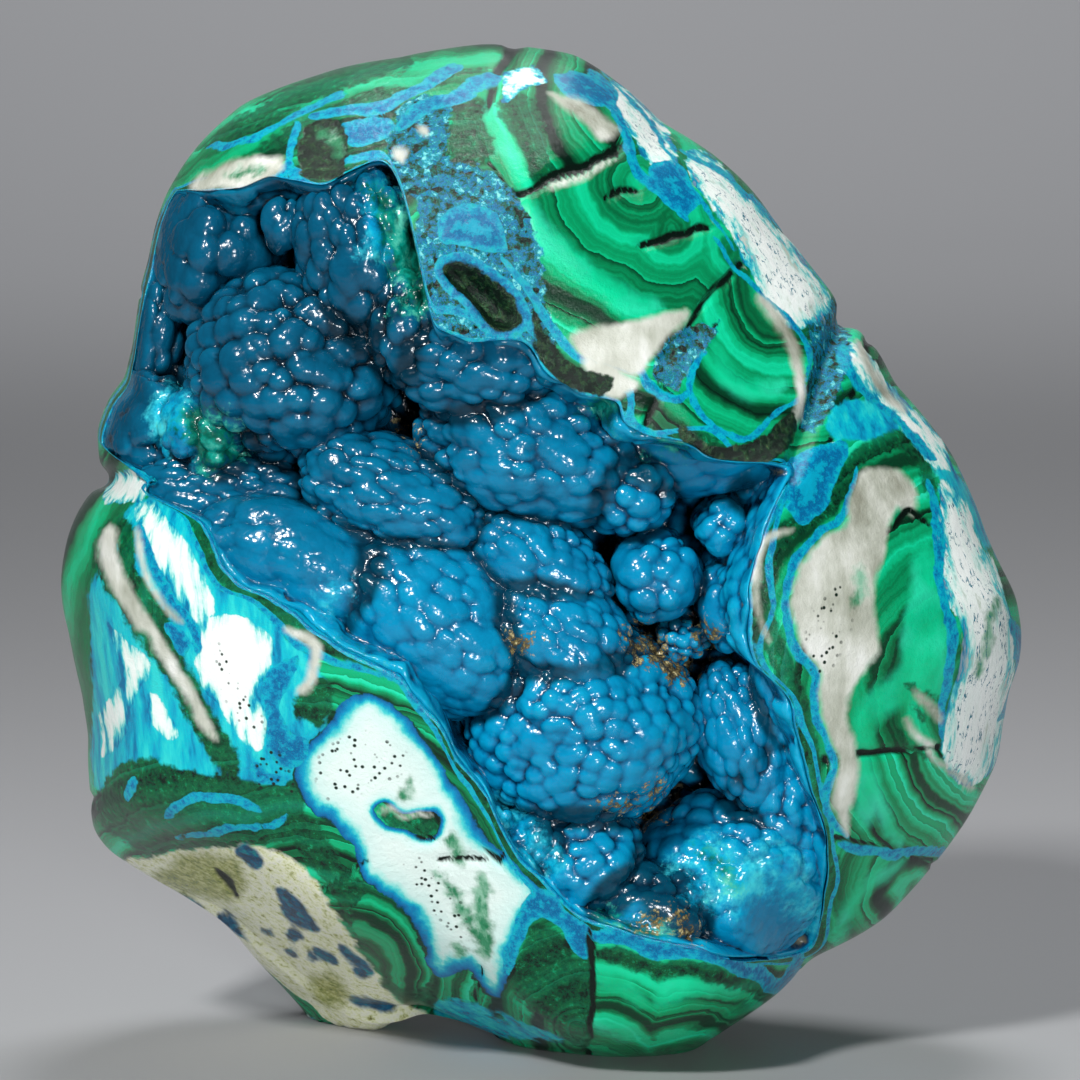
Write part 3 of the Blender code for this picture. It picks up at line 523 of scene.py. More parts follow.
strokes = {
    "ridge": [
        (1.2, [(30.7, 70.7), (33.7, 66.2), (37.7, 62.2), (40.7, 58.2)]),
    ],
    "aqua": [
        (0.8, [(38.0, 60.5), (41.5, 56.5), (45.0, 50.5)]),
    ],
    "cream": [
        (0.85, [(-43.2, 52.4), (-43.7, 49.9), (-42.5, 47.3), (-40.8, 44.3), (-39.2, 41.9)]),
        (0.6, [(-41.6, 45.7), (-40.0, 43.1), (-38.4, 40.7), (-36.6, 38.1), (-35.1, 35.6), (-33.9, 33.1),
               (-32.9, 31.4)]),
        (0.28, [(-40.8, 52.1), (-40.3, 50.0), (-39.8, 48.1), (-38.0, 45.2), (-35.9, 42.9)]),
        (0.2, [(-16.3, 23.8), (-15.2, 24.3), (-14.0, 23.6), (-12.7, 24.1), (-11.4, 23.9)]),
        (0.5, [(-25.9, 42.3), (-23.2, 40.8), (-22.9, 39.3), (-23.4, 36.8), (-24.4, 36.1)]),
        (0.35, [(24.7, 52.2), (22.2, 50.7), (21.2, 47.2), (21.4, 43.2), (22.7, 40.7)]),
        (0.5, [(31.2, 71.2), (33.2, 67.2), (36.2, 64.2)]),
        (0.3, [(38.2, 30.7), (40.7, 28.2), (43.2, 26.2)]),
        (0.4, [(37.0, 36.4), (38.5, 34.8), (40.0, 33.0)]),
        (0.35, [(36.2, 33.5), (37.6, 31.6), (39.5, 30.6)]),
        (0.6, [(21.2, 75.7), (23.7, 72.7), (25.2, 69.7), (26.0, 66.2), (25.7, 62.7)]),
        (0.3, [(0.7, 86.2), (3.7, 87.7), (7.2, 89.2)]),
        (0.6, [(-22.2, 91.4), (-23.3, 90.0), (-23.4, 88.4)]),
        (0.5, [(-14.6, 90.4), (-13.9, 89.2)]),
        (0.4, [(-12.6, 92.4), (-11.9, 91.6)]),
    ],
    "blue": [
        (0.5, [(-40.6, 52.6), (-39.6, 50.2), (-38.3, 47.4), (-36.6, 45.0), (-34.8, 42.4), (-34.4, 39.8)]),
        (0.8, [(-37.4, 42.8), (-36.4, 41.4), (-35.6, 39.8)]),
        (0.6, [(-29.4, 28.8), (-27.6, 27.4), (-25.6, 27.0)]),
        (0.5, [(-37.8, 23.7), (-35.3, 25.2), (-31.3, 25.2), (-28.1, 24.0)]),
        (0.35, [(-36.8, 21.7), (-32.3, 22.2), (-27.3, 22.7), (-25.3, 23.7)]),
        (0.5, [(-40.8, 27.2), (-41.5, 25.2)]),
        (0.9, [(4.9, 11.4), (8.7, 11.2), (11.7, 9.7), (15.7, 10.2), (19.7, 8.7), (23.7, 6.7), (25.7, 10.2)]),
        (0.45, [(31.2, 58.4), (30.6, 55.2), (29.7, 53.4), (27.7, 52.2), (25.6, 49.2), (24.5, 45.4),
                (25.0, 41.3), (26.4, 38.8), (27.6, 37.6), (27.2, 35.6), (27.6, 33.0), (28.4, 31.0),
                (28.9, 28.3), (28.7, 25.0), (29.2, 22.8), (30.4, 21.0)]),
        (0.45, [(38.7, 57.2), (39.5, 53.2), (39.7, 48.2), (40.2, 45.2), (40.7, 41.2), (40.0, 35.2),
                (40.2, 31.2)]),
        (0.5, [(46.7, 43.2), (47.9, 40.2), (47.7, 36.2), (45.7, 33.2)]),
        (0.4, [(41.7, 59.2), (44.2, 54.2), (45.7, 49.2)]),
        (0.4, [(30.2, 71.2), (30.7, 68.2), (32.7, 65.2), (36.2, 62.7), (39.2, 59.2)]),
        (0.5, [(29.2, 20.7), (32.7, 19.7), (36.7, 20.0), (40.7, 20.2), (42.2, 20.7)]),
        (0.5, [(6.7, 95.7), (8.2, 91.2), (9.7, 87.7), (12.2, 85.7), (14.7, 83.2)]),
        (0.2, [(5.7, 98.2), (9.7, 94.2), (12.9, 89.2), (15.7, 85.2), (19.2, 80.2)]),
        (0.3, [(13.7, 90.2), (18.7, 87.2), (23.7, 83.2), (27.7, 78.2), (30.2, 74.2)]),
        (0.3, [(16.7, 81.2), (19.7, 78.2), (22.2, 75.2), (24.7, 73.2), (26.2, 71.2), (26.9, 68.7),
               (26.2, 65.7)]),
        (0.35, [(16.2, 70.2), (15.0, 68.4), (14.7, 66.7), (15.7, 64.2), (18.2, 62.0), (20.7, 61.7),
                (23.2, 63.7), (25.7, 65.2), (26.5, 66.2)]),
        (0.5, [(-4.3, 79.7), (-1.3, 76.2), (0.7, 72.7), (3.2, 70.2), (5.7, 69.0), (8.2, 68.4), (9.7, 68.2),
               (10.7, 66.7), (13.2, 65.4), (14.7, 66.2)]),
        (0.35, [(-33.8, 90.2), (-29.3, 91.2), (-25.3, 93.4), (-21.3, 95.7), (-19.8, 96.0)]),
        (0.6, [(-23.3, 93.7), (-19.8, 94.2), (-15.8, 94.5), (-12.8, 96.4), (-9.8, 98.0), (-8.1, 98.6)]),
        (0.7, [(-14.8, 92.2), (-12.3, 94.2), (-9.3, 95.4), (-6.3, 97.0), (-4.3, 97.2)]),
        (0.5, [(-36.0, 86.2), (-32.8, 85.2), (-29.3, 86.0), (-26.3, 87.7), (-25.3, 89.7)]),
        (0.4, [(-24.3, 93.2), (-25.3, 90.7), (-25.0, 88.2), (-23.3, 86.7), (-20.8, 86.4)]),
    ],
    "inky": [
        (0.8, [(-45.2, 20.8), (-42.8, 17.6), (-39.2, 15.8), (-36.0, 14.6), (-33.6, 13.4)]),
        (0.9, [(-32.4, 13.8), (-30.9, 11.8), (-29.4, 9.4), (-28.4, 7.4)]),
        (0.7, [(-30.6, 20.4), (-29.4, 19.4), (-28.2, 18.6)]),
        (0.45, [(-27.8, 12.4), (-26.9, 11.6)]),
        (0.6, [(-25.6, 11.9), (-24.2, 10.9)]),
        (0.5, [(-25.8, 10.0), (-24.5, 9.2)]),
        (0.6, [(-22.9, 9.9), (-20.6, 8.6)]),
        (0.3, [(-23.6, 9.6), (-22.8, 9.0)]),
        (0.5, [(-20.3, 10.4), (-18.6, 8.6), (-17.2, 7.2)]),
        (0.4, [(-18.9, 7.9), (-17.6, 7.0)]),
        (0.6, [(-19.2, 5.2), (-16.6, 4.4), (-14.4, 3.9)]),
    ],
    "dark": [
        (1.0, [(-32.0, 91.6), (-24.0, 96.2), (-13.0, 99.3)]),
        (0.6, [(-28.5, 90.4), (-20.0, 94.5), (-12.5, 96.4)]),
        (0.8, [(5.1, 9.6), (8.7, 9.3), (11.7, 7.9), (15.7, 8.3), (19.7, 6.8), (23.2, 5.4)]),
        (1.35, [(-43.4, 52.8), (-43.8, 49.7), (-42.6, 47.3), (-40.8, 44.3), (-38.6, 41.0), (-36.6, 38.3),
                (-35.1, 35.8), (-33.9, 33.1), (-32.4, 30.6), (-31.0, 27.7)]),
        (1.0, [(-42.1, 53.2), (-41.8, 48.3), (-39.3, 45.3), (-37.6, 42.3), (-36.4, 39.8)]),
        (1.2, [(28.7, 54.6), (24.6, 52.2), (22.6, 49.2), (22.0, 45.2), (22.4, 42.2), (24.0, 38.6),
               (25.4, 35.0), (26.4, 31.0), (27.2, 26.0)]),
        (0.3, [(36.0, 37.2), (38.0, 36.0), (40.0, 35.2)]),
        (0.25, [(36.8, 35.0), (38.2, 33.2)]),
        (0.3, [(35.5, 32.0), (37.0, 30.2), (39.0, 29.6)]),
        (0.8, [(29.2, 54.2), (29.7, 57.2), (32.2, 59.7), (35.7, 61.2), (38.2, 59.7), (39.2, 55.2)]),
        (0.5, [(-20.8, 95.0), (-16.8, 95.3), (-13.0, 95.6)]),
        (0.4, [(-11.5, 96.9), (-8.2, 97.9), (-5.5, 98.3)]),
    ],
    "bright": [
        (0.4, [(-41.6, 49.6), (-40.7, 46.8), (-39.0, 44.2), (-37.4, 41.4)]),
        (0.55, [(-1.5, 3.7), (-1.6, 5.7), (-0.5, 7.7), (1.7, 8.7)]),
        (0.9, [(4.9, 7.7), (7.7, 6.7), (10.0, 4.9)]),
        (0.9, [(10.7, 4.9), (13.7, 6.2), (17.7, 6.4), (22.7, 4.7)]),
        (0.6, [(4.9, 2.7), (9.2, 1.9)]),
        (0.6, [(29.4, 10.5), (30.4, 13.5), (32.4, 16.5), (35.9, 19.2)]),
        (0.7, [(32.5, 28.2), (33.5, 24.2), (35.7, 20.7)]),
        (0.8, [(40.2, 29.2), (42.7, 26.2), (44.2, 23.7)]),
        (0.75, [(-5.3, 95.7), (-5.6, 93.7), (-4.8, 91.2), (-3.1, 89.7), (-2.3, 87.7), (-1.3, 86.2)]),
        (1.2, [(-1.8, 85.2), (-0.8, 82.7), (1.7, 80.2), (4.7, 77.7), (8.2, 75.2), (11.7, 74.4)]),
        (0.9, [(16.9, 70.7), (17.9, 68.2), (20.2, 66.4), (24.2, 66.7)]),
        (0.5, [(-30.3, 94.4), (-25.3, 95.2), (-21.3, 96.2), (-14.3, 97.0), (-9.3, 98.7)]),
    ],
    "moss": [
        (0.7, [(-9.3, 21.6), (-8.6, 20.4), (-8.3, 18.9)]),
        (0.5, [(-14.6, 25.4), (-13.2, 26.6)]),
        (0.9, [(-6.1, 17.4), (-6.6, 14.6), (-6.3, 12.0), (-5.5, 9.2)]),
        (0.6, [(-9.2, 16.4), (-8.0, 13.8), (-6.8, 11.4)]),
        (0.4, [(-10.8, 17.6), (-9.4, 16.2)]),
        (0.5, [(-8.9, 10.8), (-8.2, 9.4)]),
        (0.3, [(-32.0, 87.4), (-30.2, 88.2), (-28.0, 88.6)]),
        (0.5, [(-22.4, 92.2), (-21.2, 91.2), (-20.6, 89.4)]),
        (0.5, [(31.3, 48.4), (31.9, 46.9), (31.1, 44.9)]),
        (0.4, [(45.2, 45.5), (44.6, 41.0), (43.2, 37.5)]),
    ],
    "crack": [
        (0.24, [(4.7, 12.7), (4.9, 6.7), (4.7, 1.2)]),
        (0.3, [(-2.8, 85.7), (-0.8, 86.4), (2.2, 88.2), (5.7, 89.4), (7.7, 90.0)]),
        (0.26, [(6.2, 85.2), (8.2, 86.2), (9.7, 86.0)]),
        (0.3, [(9.2, 80.7), (11.2, 81.2), (14.7, 82.2), (16.9, 82.0)]),
        (0.2, [(-32.8, 18.2), (-31.3, 16.7), (-30.8, 15.2)]),
        (0.17, [(-10.6, 19.0), (-8.0, 19.4), (-5.4, 19.0)]),
        (0.22, [(35.4, 52.6), (36.6, 54.0), (39.0, 52.6)]),
    ],
}
# Growth of the malachite: the middle and half size of each zone and how close its bands lie, and
# its centres as x, z and how far along their growth its bands begin.
growth = [
    ((-22.0, 94.0, 16.0, 6.0, 1.2), [(-5.3, 40.2, 0.0)]),
    ((0.5, 91.5, 7.0, 6.0, 1.3), [(10.7, 96.2, 0.0)]),
    ((6.0, 81.0, 10.0, 10.0, 1.0), [(9.7, 87.2, 0.0), (12.7, 82.2, 3.0), (18.7, 80.2, 4.0)]),
    ((21.0, 68.0, 6.0, 8.0, 1.1), [(24.6, 76.6, 0.0)]),
    ((36.0, 44.0, 8.0, 14.0, 0.8), [(45.7, 35.2, 0.0)]),
    ((38.0, 25.0, 8.0, 5.5, 1.4), [(46.0, 32.0, 0.0)]),
    ((33.0, 14.0, 9.0, 6.0, 1.4), [(37.5, 15.6, 0.0)]),
    ((14.0, 5.0, 10.0, 6.0, 1.7), [(5.2, -3.5, 0.0), (14.7, -5.0, 0.0), (23.0, -4.0, 1.0)]),
    ((1.0, 6.0, 4.0, 6.0, 1.4), [(3.5, 2.0, 0.0)]),
    ((-15.0, 11.0, 5.0, 6.0, 1.4), [(-20.0, 7.0, 0.0)]),
    ((-33.0, 23.0, 12.0, 5.0, 1.3), [(-33.0, 8.0, 0.0), (-24.0, 10.0, 1.0)]),
    ((-46.0, 40.0, 3.0, 14.0, 1.2), [(-20.0, 40.0, 0.0)]),
    ((-8.0, 84.0, 5.0, 6.0, 1.0), [(-4.0, 76.0, 0.0)]),
]
reach = 4.0  # a mark's depths are kept within so many millimetres of its edge


# A line rounded by cubic curves that pass through its points.
def roundLine(line, closed):
    p = np.array(line, dtype=float)
    if closed:
        p = np.concatenate([p[-1:], p, p[:2]])
    else:
        p = np.concatenate([2.0 * p[:1] - p[1:2], p, 2.0 * p[-1:] - p[-2:-1]])
    t = np.linspace(0.0, 1.0, 4, endpoint=False)[:, None, None]
    a, b, c, d = p[:-3], p[1:-2], p[2:-1], p[3:]
    curve = 0.5 * (2.0 * b + (c - a) * t + (2.0 * a - 5.0 * b + 4.0 * c - d) * t ** 2
                   + (3.0 * b - a - 3.0 * c + d) * t ** 3)
    return np.concatenate([curve.transpose(1, 0, 2).reshape(-1, 2), p[-2:-1]])


# Least distance from seen places to the pieces of a bent line, and how far along it that is.
def lineDistance(x, z, line):
    best = np.full(x.shape, 1e3)
    share = np.zeros(x.shape)
    count = len(line) - 1
    for k in range(count):
        (ax, az), (bx, bz) = line[k], line[k + 1]
        dx, dz = bx - ax, bz - az
        along = unit(((x - ax) * dx + (z - az) * dz) / (dx * dx + dz * dz + 1e-9))
        away = np.hypot(x - ax - along * dx, z - az - along * dz)
        share = np.where(away < best, (k + along) / count, share)
        best = np.minimum(best, away)
    return best, share


def nearLine(x, z, line):
    low, high = line.min(axis=0) - reach, line.max(axis=0) + reach
    return np.nonzero((x > low[0]) & (x < high[0]) & (z > low[1]) & (z < high[1]))[0]


# Depth inside a rounded outline, negative outside it: the distance to it, with its side told by
# how often a ray crosses it.
def patchDepth(x, z, outline):
    line = roundLine(outline, True)
    near = nearLine(x, z, line)
    px, pz = x[near], z[near]
    inside = np.zeros(len(near), dtype=bool)
    for (ax, az), (bx, bz) in zip(line[:-1], line[1:]):
        crosses = (az > pz) != (bz > pz)
        inside ^= crosses & (px < ax + (pz - az) * (bx - ax) / (bz - az + 1e-12))
    depth = np.full(len(x), -reach)
    depth[near] = np.where(inside, 1.0, -1.0) * lineDistance(px, pz, line)[0]
    return depth


# Depth inside a stroke: its half width, tapered at both ends, less the distance to its line.
def strokeDepth(x, z, stroke):
    wide, points = stroke
    line = roundLine(points, False)
    near = nearLine(x, z, line)
    away, share = lineDistance(x[near], z[near], line)
    taper = np.sqrt(unit(1.0 - np.abs(2.0 * share - 1.0) ** 6))
    depth = np.full(len(x), -reach)
    depth[near] = wide * (0.25 + 0.75 * taper) - away
    return depth


def markDepth(x, z, name):
    depths = [patchDepth(x, z, outline) for outline in patches.get(name, [])]
    depths += [strokeDepth(x, z, stroke) for stroke in strokes.get(name, [])]
    holes = [-2.5 * patchDepth(x, z, outline) for outline in cuts.get(name, [])]
    return np.maximum(np.min([np.max(depths, axis=0)] + holes, axis=0), -reach)


# How the pattern goes on through the stone behind its face: cloud size in mm, how much of the
# cloud counts, and its strength in mm.
hidden = {
    "white": (24.0, 0.62, 9.0),
    "ridge": (22.0, 0.95, 8.0),
    "aqua": (22.0, 0.50, 8.0),
    "rock": (26.0, 0.85, 6.0),
    "cream": (20.0, 0.80, 8.0),
    "blue": (16.0, 1.05, 6.0),
    "inky": (9.0, 1.15, 5.0),
    "dark": (15.0, 0.55, 6.0),
    "bright": (13.0, 0.62, 5.0),
    "mottle": (24.0, 0.62, 6.0),
    "pore": (13.0, 1.05, 6.0),
    "olive": (12.0, 0.90, 6.0),
    "moss": (9.0, 1.05, 6.0),
    "speckle": (24.0, 0.40, 6.0),
    "dots": (10.0, 0.85, 6.0),
}
thinMarks = ("bright", "crack", "speckle", "dots")  # a seam between growth zones runs on through these
# The mouth's edging: half width of its blue lines, how far the second lies past the dark band, and
# the band's width, its variation, its least and its most.
edging = {"line": 0.4, "second": 0.3, "band": 1.5, "vary": 1.4, "least": 0.3, "most": 3.2}


# The growth of the malachite: how far each place lies along its zone's bands, and how near it is to
# the border with the next zone, where a zone's cost is the distance from its middle in half sizes.
def growthBands(x, z):
    cost, after, phase = np.full(len(x), 1e3), np.full(len(x), 1e3), np.zeros(len(x))
    for (midX, midZ, halfX, halfZ, close), centres in growth:
        here = np.hypot((x - midX) / halfX, (z - midZ) / halfZ)
        travel = np.min([np.hypot(x - cx, z - cz) + start for cx, cz, start in centres], axis=0)
        phase = np.where(here < cost, close * travel + 3.7 * midX, phase)
        after = np.minimum(after, np.maximum(cost, here))
        cost = np.minimum(cost, here)
    return phase, after - cost


# Markings as depths in mm at each point. On the face they follow the tables, with edges that
# waver; behind the widest section they give way to clouds of noise.
def markStone(mesh, points, away):
    sway = np.stack([layeredNoise(points, 4.0, 60 + k, 3) for k in (0, 5)])
    seenX, seenZ = seenFrom(points)
    x, z = seenX + 0.42 * sway[0], seenZ + 0.42 * sway[1]
    back = eased(unit((points[:, 1] + 1.5 * sway[0] - 2.0) / 9.0))
    depths = {name: markDepth(x, z, name) for name in list(hidden) + ["crack"]}
    for seed, (name, (size, share, strength)) in enumerate(hidden.items()):
        cloud = strength * (layeredNoise(points, size, 100 + 7 * seed, 3) - share)
        depths[name] = (1.0 - back) * depths[name] + back * np.clip(cloud, -reach, reach)
    vein = 0.45 - 7.0 * np.abs(layeredNoise(points, 26.0, 300, 3) + 0.1)
    depths["blue"] = np.maximum(depths["blue"], vein - reach * (1.0 - back))
    depths["crack"] = depths["crack"] - reach * back
    # the mouth is edged by a thin blue line, a dark speckled band and a second blue line
    band = edging["band"] + edging["vary"] * layeredNoise(points, 8.0, 80, 2)
    band = np.clip(band, edging["least"], edging["most"])
    lines = edging["line"] - np.minimum(away, np.abs(away - band - edging["second"]))
    depths["blue"] = np.maximum(depths["blue"], lines)
    depths["dark"] = np.maximum(depths["dark"], np.minimum(away, band - away))
    for name in ("aqua", "white"):
        depths[name] = np.minimum(depths[name], away - band - 0.5)
    # the almond shaped hole is edged with blue too
    hole = patchDepth(x, z, patches["pore"][0])
    depths["blue"] = np.maximum(depths["blue"], np.where(points[:, 1] < 0.0, hole + 0.9, -reach))
    # a dark seam runs where one growth zone meets the next
    phase, border = growthBands(x, z)
    others = np.max([depths[name] for name in depths if name not in thinMarks], axis=0)
    seam = np.minimum(0.2 - 4.0 * border, -0.1 - others) - reach * back
    depths["crack"] = np.maximum(depths["crack"], seam)
    solid = bubbleDistance(points + 2.0 * sway.T[:, [0, 1, 0]], 21.0, 200)[0]
    depths["phase"] = (1.0 - back) * phase + back * solid
    for name, values in depths.items():
        storeValue(mesh, name, values)
    return depths


# The polished stone: rings run from the vug's floor over the mouth, the face and the back. Its
# undermost skin lies flat on the floor, and the skin above that eases down to it. Grooves are a
# line as seen, a depth and a half width.
stoneShape = {"columns": 600, "vugRings": 9, "faceRings": 102, "backRings": 38, "flat": 0.5, "ease": 3.5}
grooves = [
    ([(25.0, 58.0), (28.0, 66.5), (30.6, 74.0)], 1.1, 0.9),
    ([(-38.5, 57.3), (-44.5, 57.4)], 0.9, 1.0),
]


# How deep the skin is sunk at each point: by broad waves, grooves, the hole, rough patches and cracks.
def stoneSink(points, depths):
    x, z = seenFrom(points)
    sink = 0.07 + 0.16 * layeredNoise(points, 9.0, 400, 2)
    for line, deep, wide in grooves:
        sink += deep * np.exp(-(lineDistance(x, z, line)[0] / wide) ** 2) * (points[:, 1] < 6.0)
    pit = unit(patchDepth(x, z, patches["pore"][0]) / 1.2) * (points[:, 1] < 0.0)
    sink += pit * (2.4 + 0.5 * layeredNoise(points, 2.5, 410, 3))
    coarse = unit(np.maximum(depths["mottle"], depths["pore"]) / 0.8)
    sink += coarse * (0.15 + 0.16 * layeredNoise(points, 1.6, 420, 2))
    sink += 0.35 * np.clip(depths["crack"] + 0.3, 0.0, 0.4) / 0.4
    sink[points[:, 2] < stoneShape["flat"] + 0.1] = 0.0
    return sink


def makeStone():
    s = stoneShape
    angle = evenAngles(s["columns"])
    rimShare = mouthRadius(angle) / outerRadius(angle)
    rings = [vugPoint(angle, 1.0 - k / s["vugRings"], 0.0) for k in range(1, s["vugRings"])]
    for way in np.sin(np.linspace(0.0, math.pi / 2.0, s["faceRings"] + 1)):
        rings.append(skinPoint(angle, rimShare + (1.0 - rimShare) * way, inFront))
    for share in np.cos(np.linspace(0.0, math.pi / 2.0, s["backRings"] + 1)[1:-1]):
        rings.append(skinPoint(angle, share, behind))
    rings = np.array(rings)
    low = rings[:, :, 2] - s["flat"]
    rings[:, :, 2] = np.where(low < 0.0, 0.0, rings[:, :, 2] - s["flat"] * (1.0 - unit(low / s["ease"])) ** 2)
    pole = skinPoint(np.zeros(1), 0.0, behind)[0]
    stone = ringMesh("polished_stone", rings, [middle["x"], form["floor"], middle["z"]], pole)
    points = meshVectors(stone.data, "co") / mm
    # how far each point lies from the mouth in its own column, negative inside the vug
    rim = s["vugRings"] - 1
    away = np.linalg.norm(rings - rings[rim], axis=2)
    away[:rim] *= -1.0
    depths = markStone(stone.data, points, np.concatenate([[-30.0], away.ravel(), [60.0]]))
    sunk = points - meshVectors(stone.data, "normal") * stoneSink(points, depths)[:, None]
    movePoints(stone.data, np.clip(sunk, np.array(cadBounds[0]) / mm, np.array(cadBounds[1]) / mm))
    print("stone", len(stone.data.polygons), "faces")
    return stone


# Lobes of the crust: middle x and z as seen, crown depth under the face, half width and height, lean
# in degrees, bubble radius and how far each bubble stands out. None comes nearer to the face than
# the cover's depth, which it nears with an ease. The bubbles stand on broad ones of one radius,
# which swell by so much.
cover = {"depth": 0.8, "ease": 0.8, "broad": 3.4, "swell": 0.45}
lobes = [
    (-32.8, 79.3, 3.6, 6.8, 8.0, 0, 1.80, 0.95),
    (-25.9, 82.7, 4.5, 2.4, 3.2, 0, 2.20, 0.15),
    (-39.1, 71.0, 2.0, 4.0, 7.2, -6, 1.35, 0.60),
    (-25.0, 67.9, 3.4, 11.2, 10.2, 0, 1.35, 0.65),
    (-39.3, 62.5, 1.5, 6.2, 5.8, 0, 1.30, 0.55),
    (-33.6, 61.9, 3.0, 5.4, 5.0, 0, 1.30, 0.60),
    (-18.1, 79.3, 3.2, 6.8, 10.0, 10, 1.25, 0.60),
    (-13.8, 72.5, 4.5, 4.2, 6.4, 0, 1.20, 0.60),
    (-6.8, 68.7, 2.6, 8.4, 6.2, -4, 1.20, 0.55),
    (-1.5, 59.9, 4.2, 11.8, 7.8, -14, 1.15, 0.50),
    (8.5, 56.0, 5.5, 5.4, 5.0, -10, 1.15, 0.50),
    (15.7, 60.3, 4.2, 9.8, 5.2, 4, 1.40, 0.35),
    (22.5, 56.9, 5.0, 4.2, 4.4, 0, 1.20, 0.40),
    (-31.1, 54.9, 6.0, 10.4, 5.0, -6, 1.00, 0.45),
    (-14.5, 54.7, 5.5, 10.6, 6.2, -20, 1.00, 0.42),
    (-0.5, 48.3, 5.5, 8.2, 5.8, -32, 1.00, 0.42),
    (-23.3, 48.1, 3.4, 11.8, 6.4, -20, 1.50, 0.25),
    (-10.5, 42.5, 2.6, 13.0, 9.0, -36, 1.10, 0.28),
    (1.7, 41.0, 3.6, 9.4, 6.2, -36, 1.00, 0.32),
    (3.9, 32.0, 2.0, 12.0, 10.8, 0, 0.95, 0.34),
    (11.4, 47.3, 6.0, 5.0, 5.0, 0, 1.50, 0.40),
    (13.9, 40.9, 8.5, 2.9, 2.6, 0, 0.70, 0.40),
    (18.7, 44.3, 6.0, 3.6, 4.8, 0, 1.20, 0.35),
    (17.9, 52.3, 6.5, 3.4, 3.4, 0, 1.30, 0.30),
    (23.9, 36.5, 3.6, 3.2, 6.4, 8, 1.00, 0.40),
    (19.9, 31.3, 4.8, 4.8, 7.8, 10, 1.00, 0.42),
    (23.5, 25.0, 3.8, 5.8, 7.2, 12, 1.00, 0.42),
    (3.7, 18.7, 1.5, 6.8, 6.0, 0, 1.00, 0.32),
    (-1.5, 20.9, 1.8, 3.6, 3.4, 0, 0.90, 0.30),
    (18.7, 16.5, 1.3, 10.4, 9.2, -6, 1.10, 0.30),
    (10.9, 13.7, 1.2, 6.4, 5.2, 0, 1.00, 0.30),
    (-4.6, 22.9, 1.2, 1.7, 1.7, 0, 1.50, 0.05),
]


# Points on a unit ball by the golden angle, each pushed aside at random.
def bubbleHeads(count, rng):
    step = np.arange(count) + 0.5
    rise = 1.0 - 2.0 * step / count
    turn = step * math.pi * (3.0 - math.sqrt(5.0))
    flat = np.sqrt(1.0 - rise ** 2)
    heads = np.stack([flat * np.cos(turn), rise, flat * np.sin(turn)], axis=1)
    heads += rng.normal(0.0, 0.75 / math.sqrt(count), heads.shape)
    return heads / np.linalg.norm(heads, axis=1)[:, None]


# Height of bubbles on a unit ball, 1 at a crown and 0 at a bubble's own radius: each is a cap of
# a ball 1.35 times as wide, and the three nearest flow together by a soft maximum.
def bubbleHeight(spots, count, rng):
    heads = bubbleHeads(count, rng)
    weight = 0.72 + 0.5 * rng.random(count) + 0.2 * smoothNoise(heads, 0.6, 9)
    spread = math.sqrt(4.0 * math.pi / count) * 0.58
    height = np.zeros(len(spots))
    for start in range(0, len(spots), 20000):
        part = slice(start, start + 20000)
        away = np.arccos(np.clip(spots[part] @ heads.T, -1.0, 1.0)) / (weight * spread)
        near = np.minimum(np.partition(away, 2, axis=1)[:, :3], 1.3)
        caps = (np.sqrt(1.35 ** 2 - near ** 2) - 0.907) / 0.443  # 0.907 at the bubble's own radius
        height[part] = np.log(np.exp(5.0 * caps).sum(axis=1)) / 5.0
    return height


# One lobe: half a ball in front of a long stem, raised by fine bubbles on broad ones. A soft
# maximum keeps it under the face.
def makeLobe(index, lobe, collection):
    atX, atZ, under, wide, high, lean, bubble, rise = lobe
    size, deep, mean = max(wide, high), min(wide, high), 0.5 * (wide + high)
    bm = bmesh.new()
    bmesh.ops.create_icosphere(bm, subdivisions=7 if size > 7.5 else 6 if size > 4.0 else 5, radius=1.0)
    mesh = bpy.data.meshes.new("lobe")
    bm.to_mesh(mesh)
    bm.free()
    spots = meshVectors(mesh, "co")
    rng = np.random.default_rng(31 + index)
    fine = bubbleHeight(spots, max(14, int(3.2 * (mean / bubble) ** 2)), rng)
    broad = bubbleHeight(spots, max(8, int(3.2 * (mean / cover["broad"]) ** 2)), rng)
    sway = 0.05 * smoothNoise(spots + index, 0.7, 3)
    lift = rise * (fine - 1.0) + cover["swell"] * (broad - 1.0)
    spots = spots * (1.0 + sway + lift / size)[:, None]
    midX, midZ = carried(np.array([atX]), np.array([atZ]), under + 0.5 * deep)
    midY = facePoint(midX, midZ)[0, 1] + under + deep
    stem = max(1.0, (form["floor"] + 2.0 - midY) / deep)
    cosLean, sinLean = math.cos(math.radians(lean)), math.sin(math.radians(lean))
    across, along = spots[:, 0] * wide, spots[:, 2] * high
    depth = spots[:, 1] * deep * np.where(spots[:, 1] > 0.0, stem, 1.0)
    x = midX + across * cosLean - along * sinLean
    z = midZ + across * sinLean + along * cosLean
    over = (facePoint(x, z)[:, 1] + cover["depth"] - midY - depth) / cover["ease"]
    y = midY + depth + 0.85 * cover["ease"] * np.logaddexp(0.0, over)
    movePoints(mesh, np.stack([x, y, z], axis=1) + shift)
    collection.objects.link(bpy.data.objects.new("lobe", mesh))


# Lining of the vug: its front stands off the wall by a bubbly thickness that thins out to
# nothing a little behind the mouth, and the rest runs behind the wall, where the room cuts it.
# It starts at a share of the turn. A film and domes lie on the wall, and thicker ones on the floor;
# cells hold one bubble each. The whole crust is thinned to its triangles.
crustShape = {"columns": 420, "rings": 99, "backRings": 20, "wallGap": 0.05, "start": 0.035, "film": 0.35,
              "dome": 0.95, "floorFilm": 1.6, "floorDome": 2.0, "cell": 2.1, "bubble": 1.8,
              "behindWall": 1.5, "triangles": 190000}


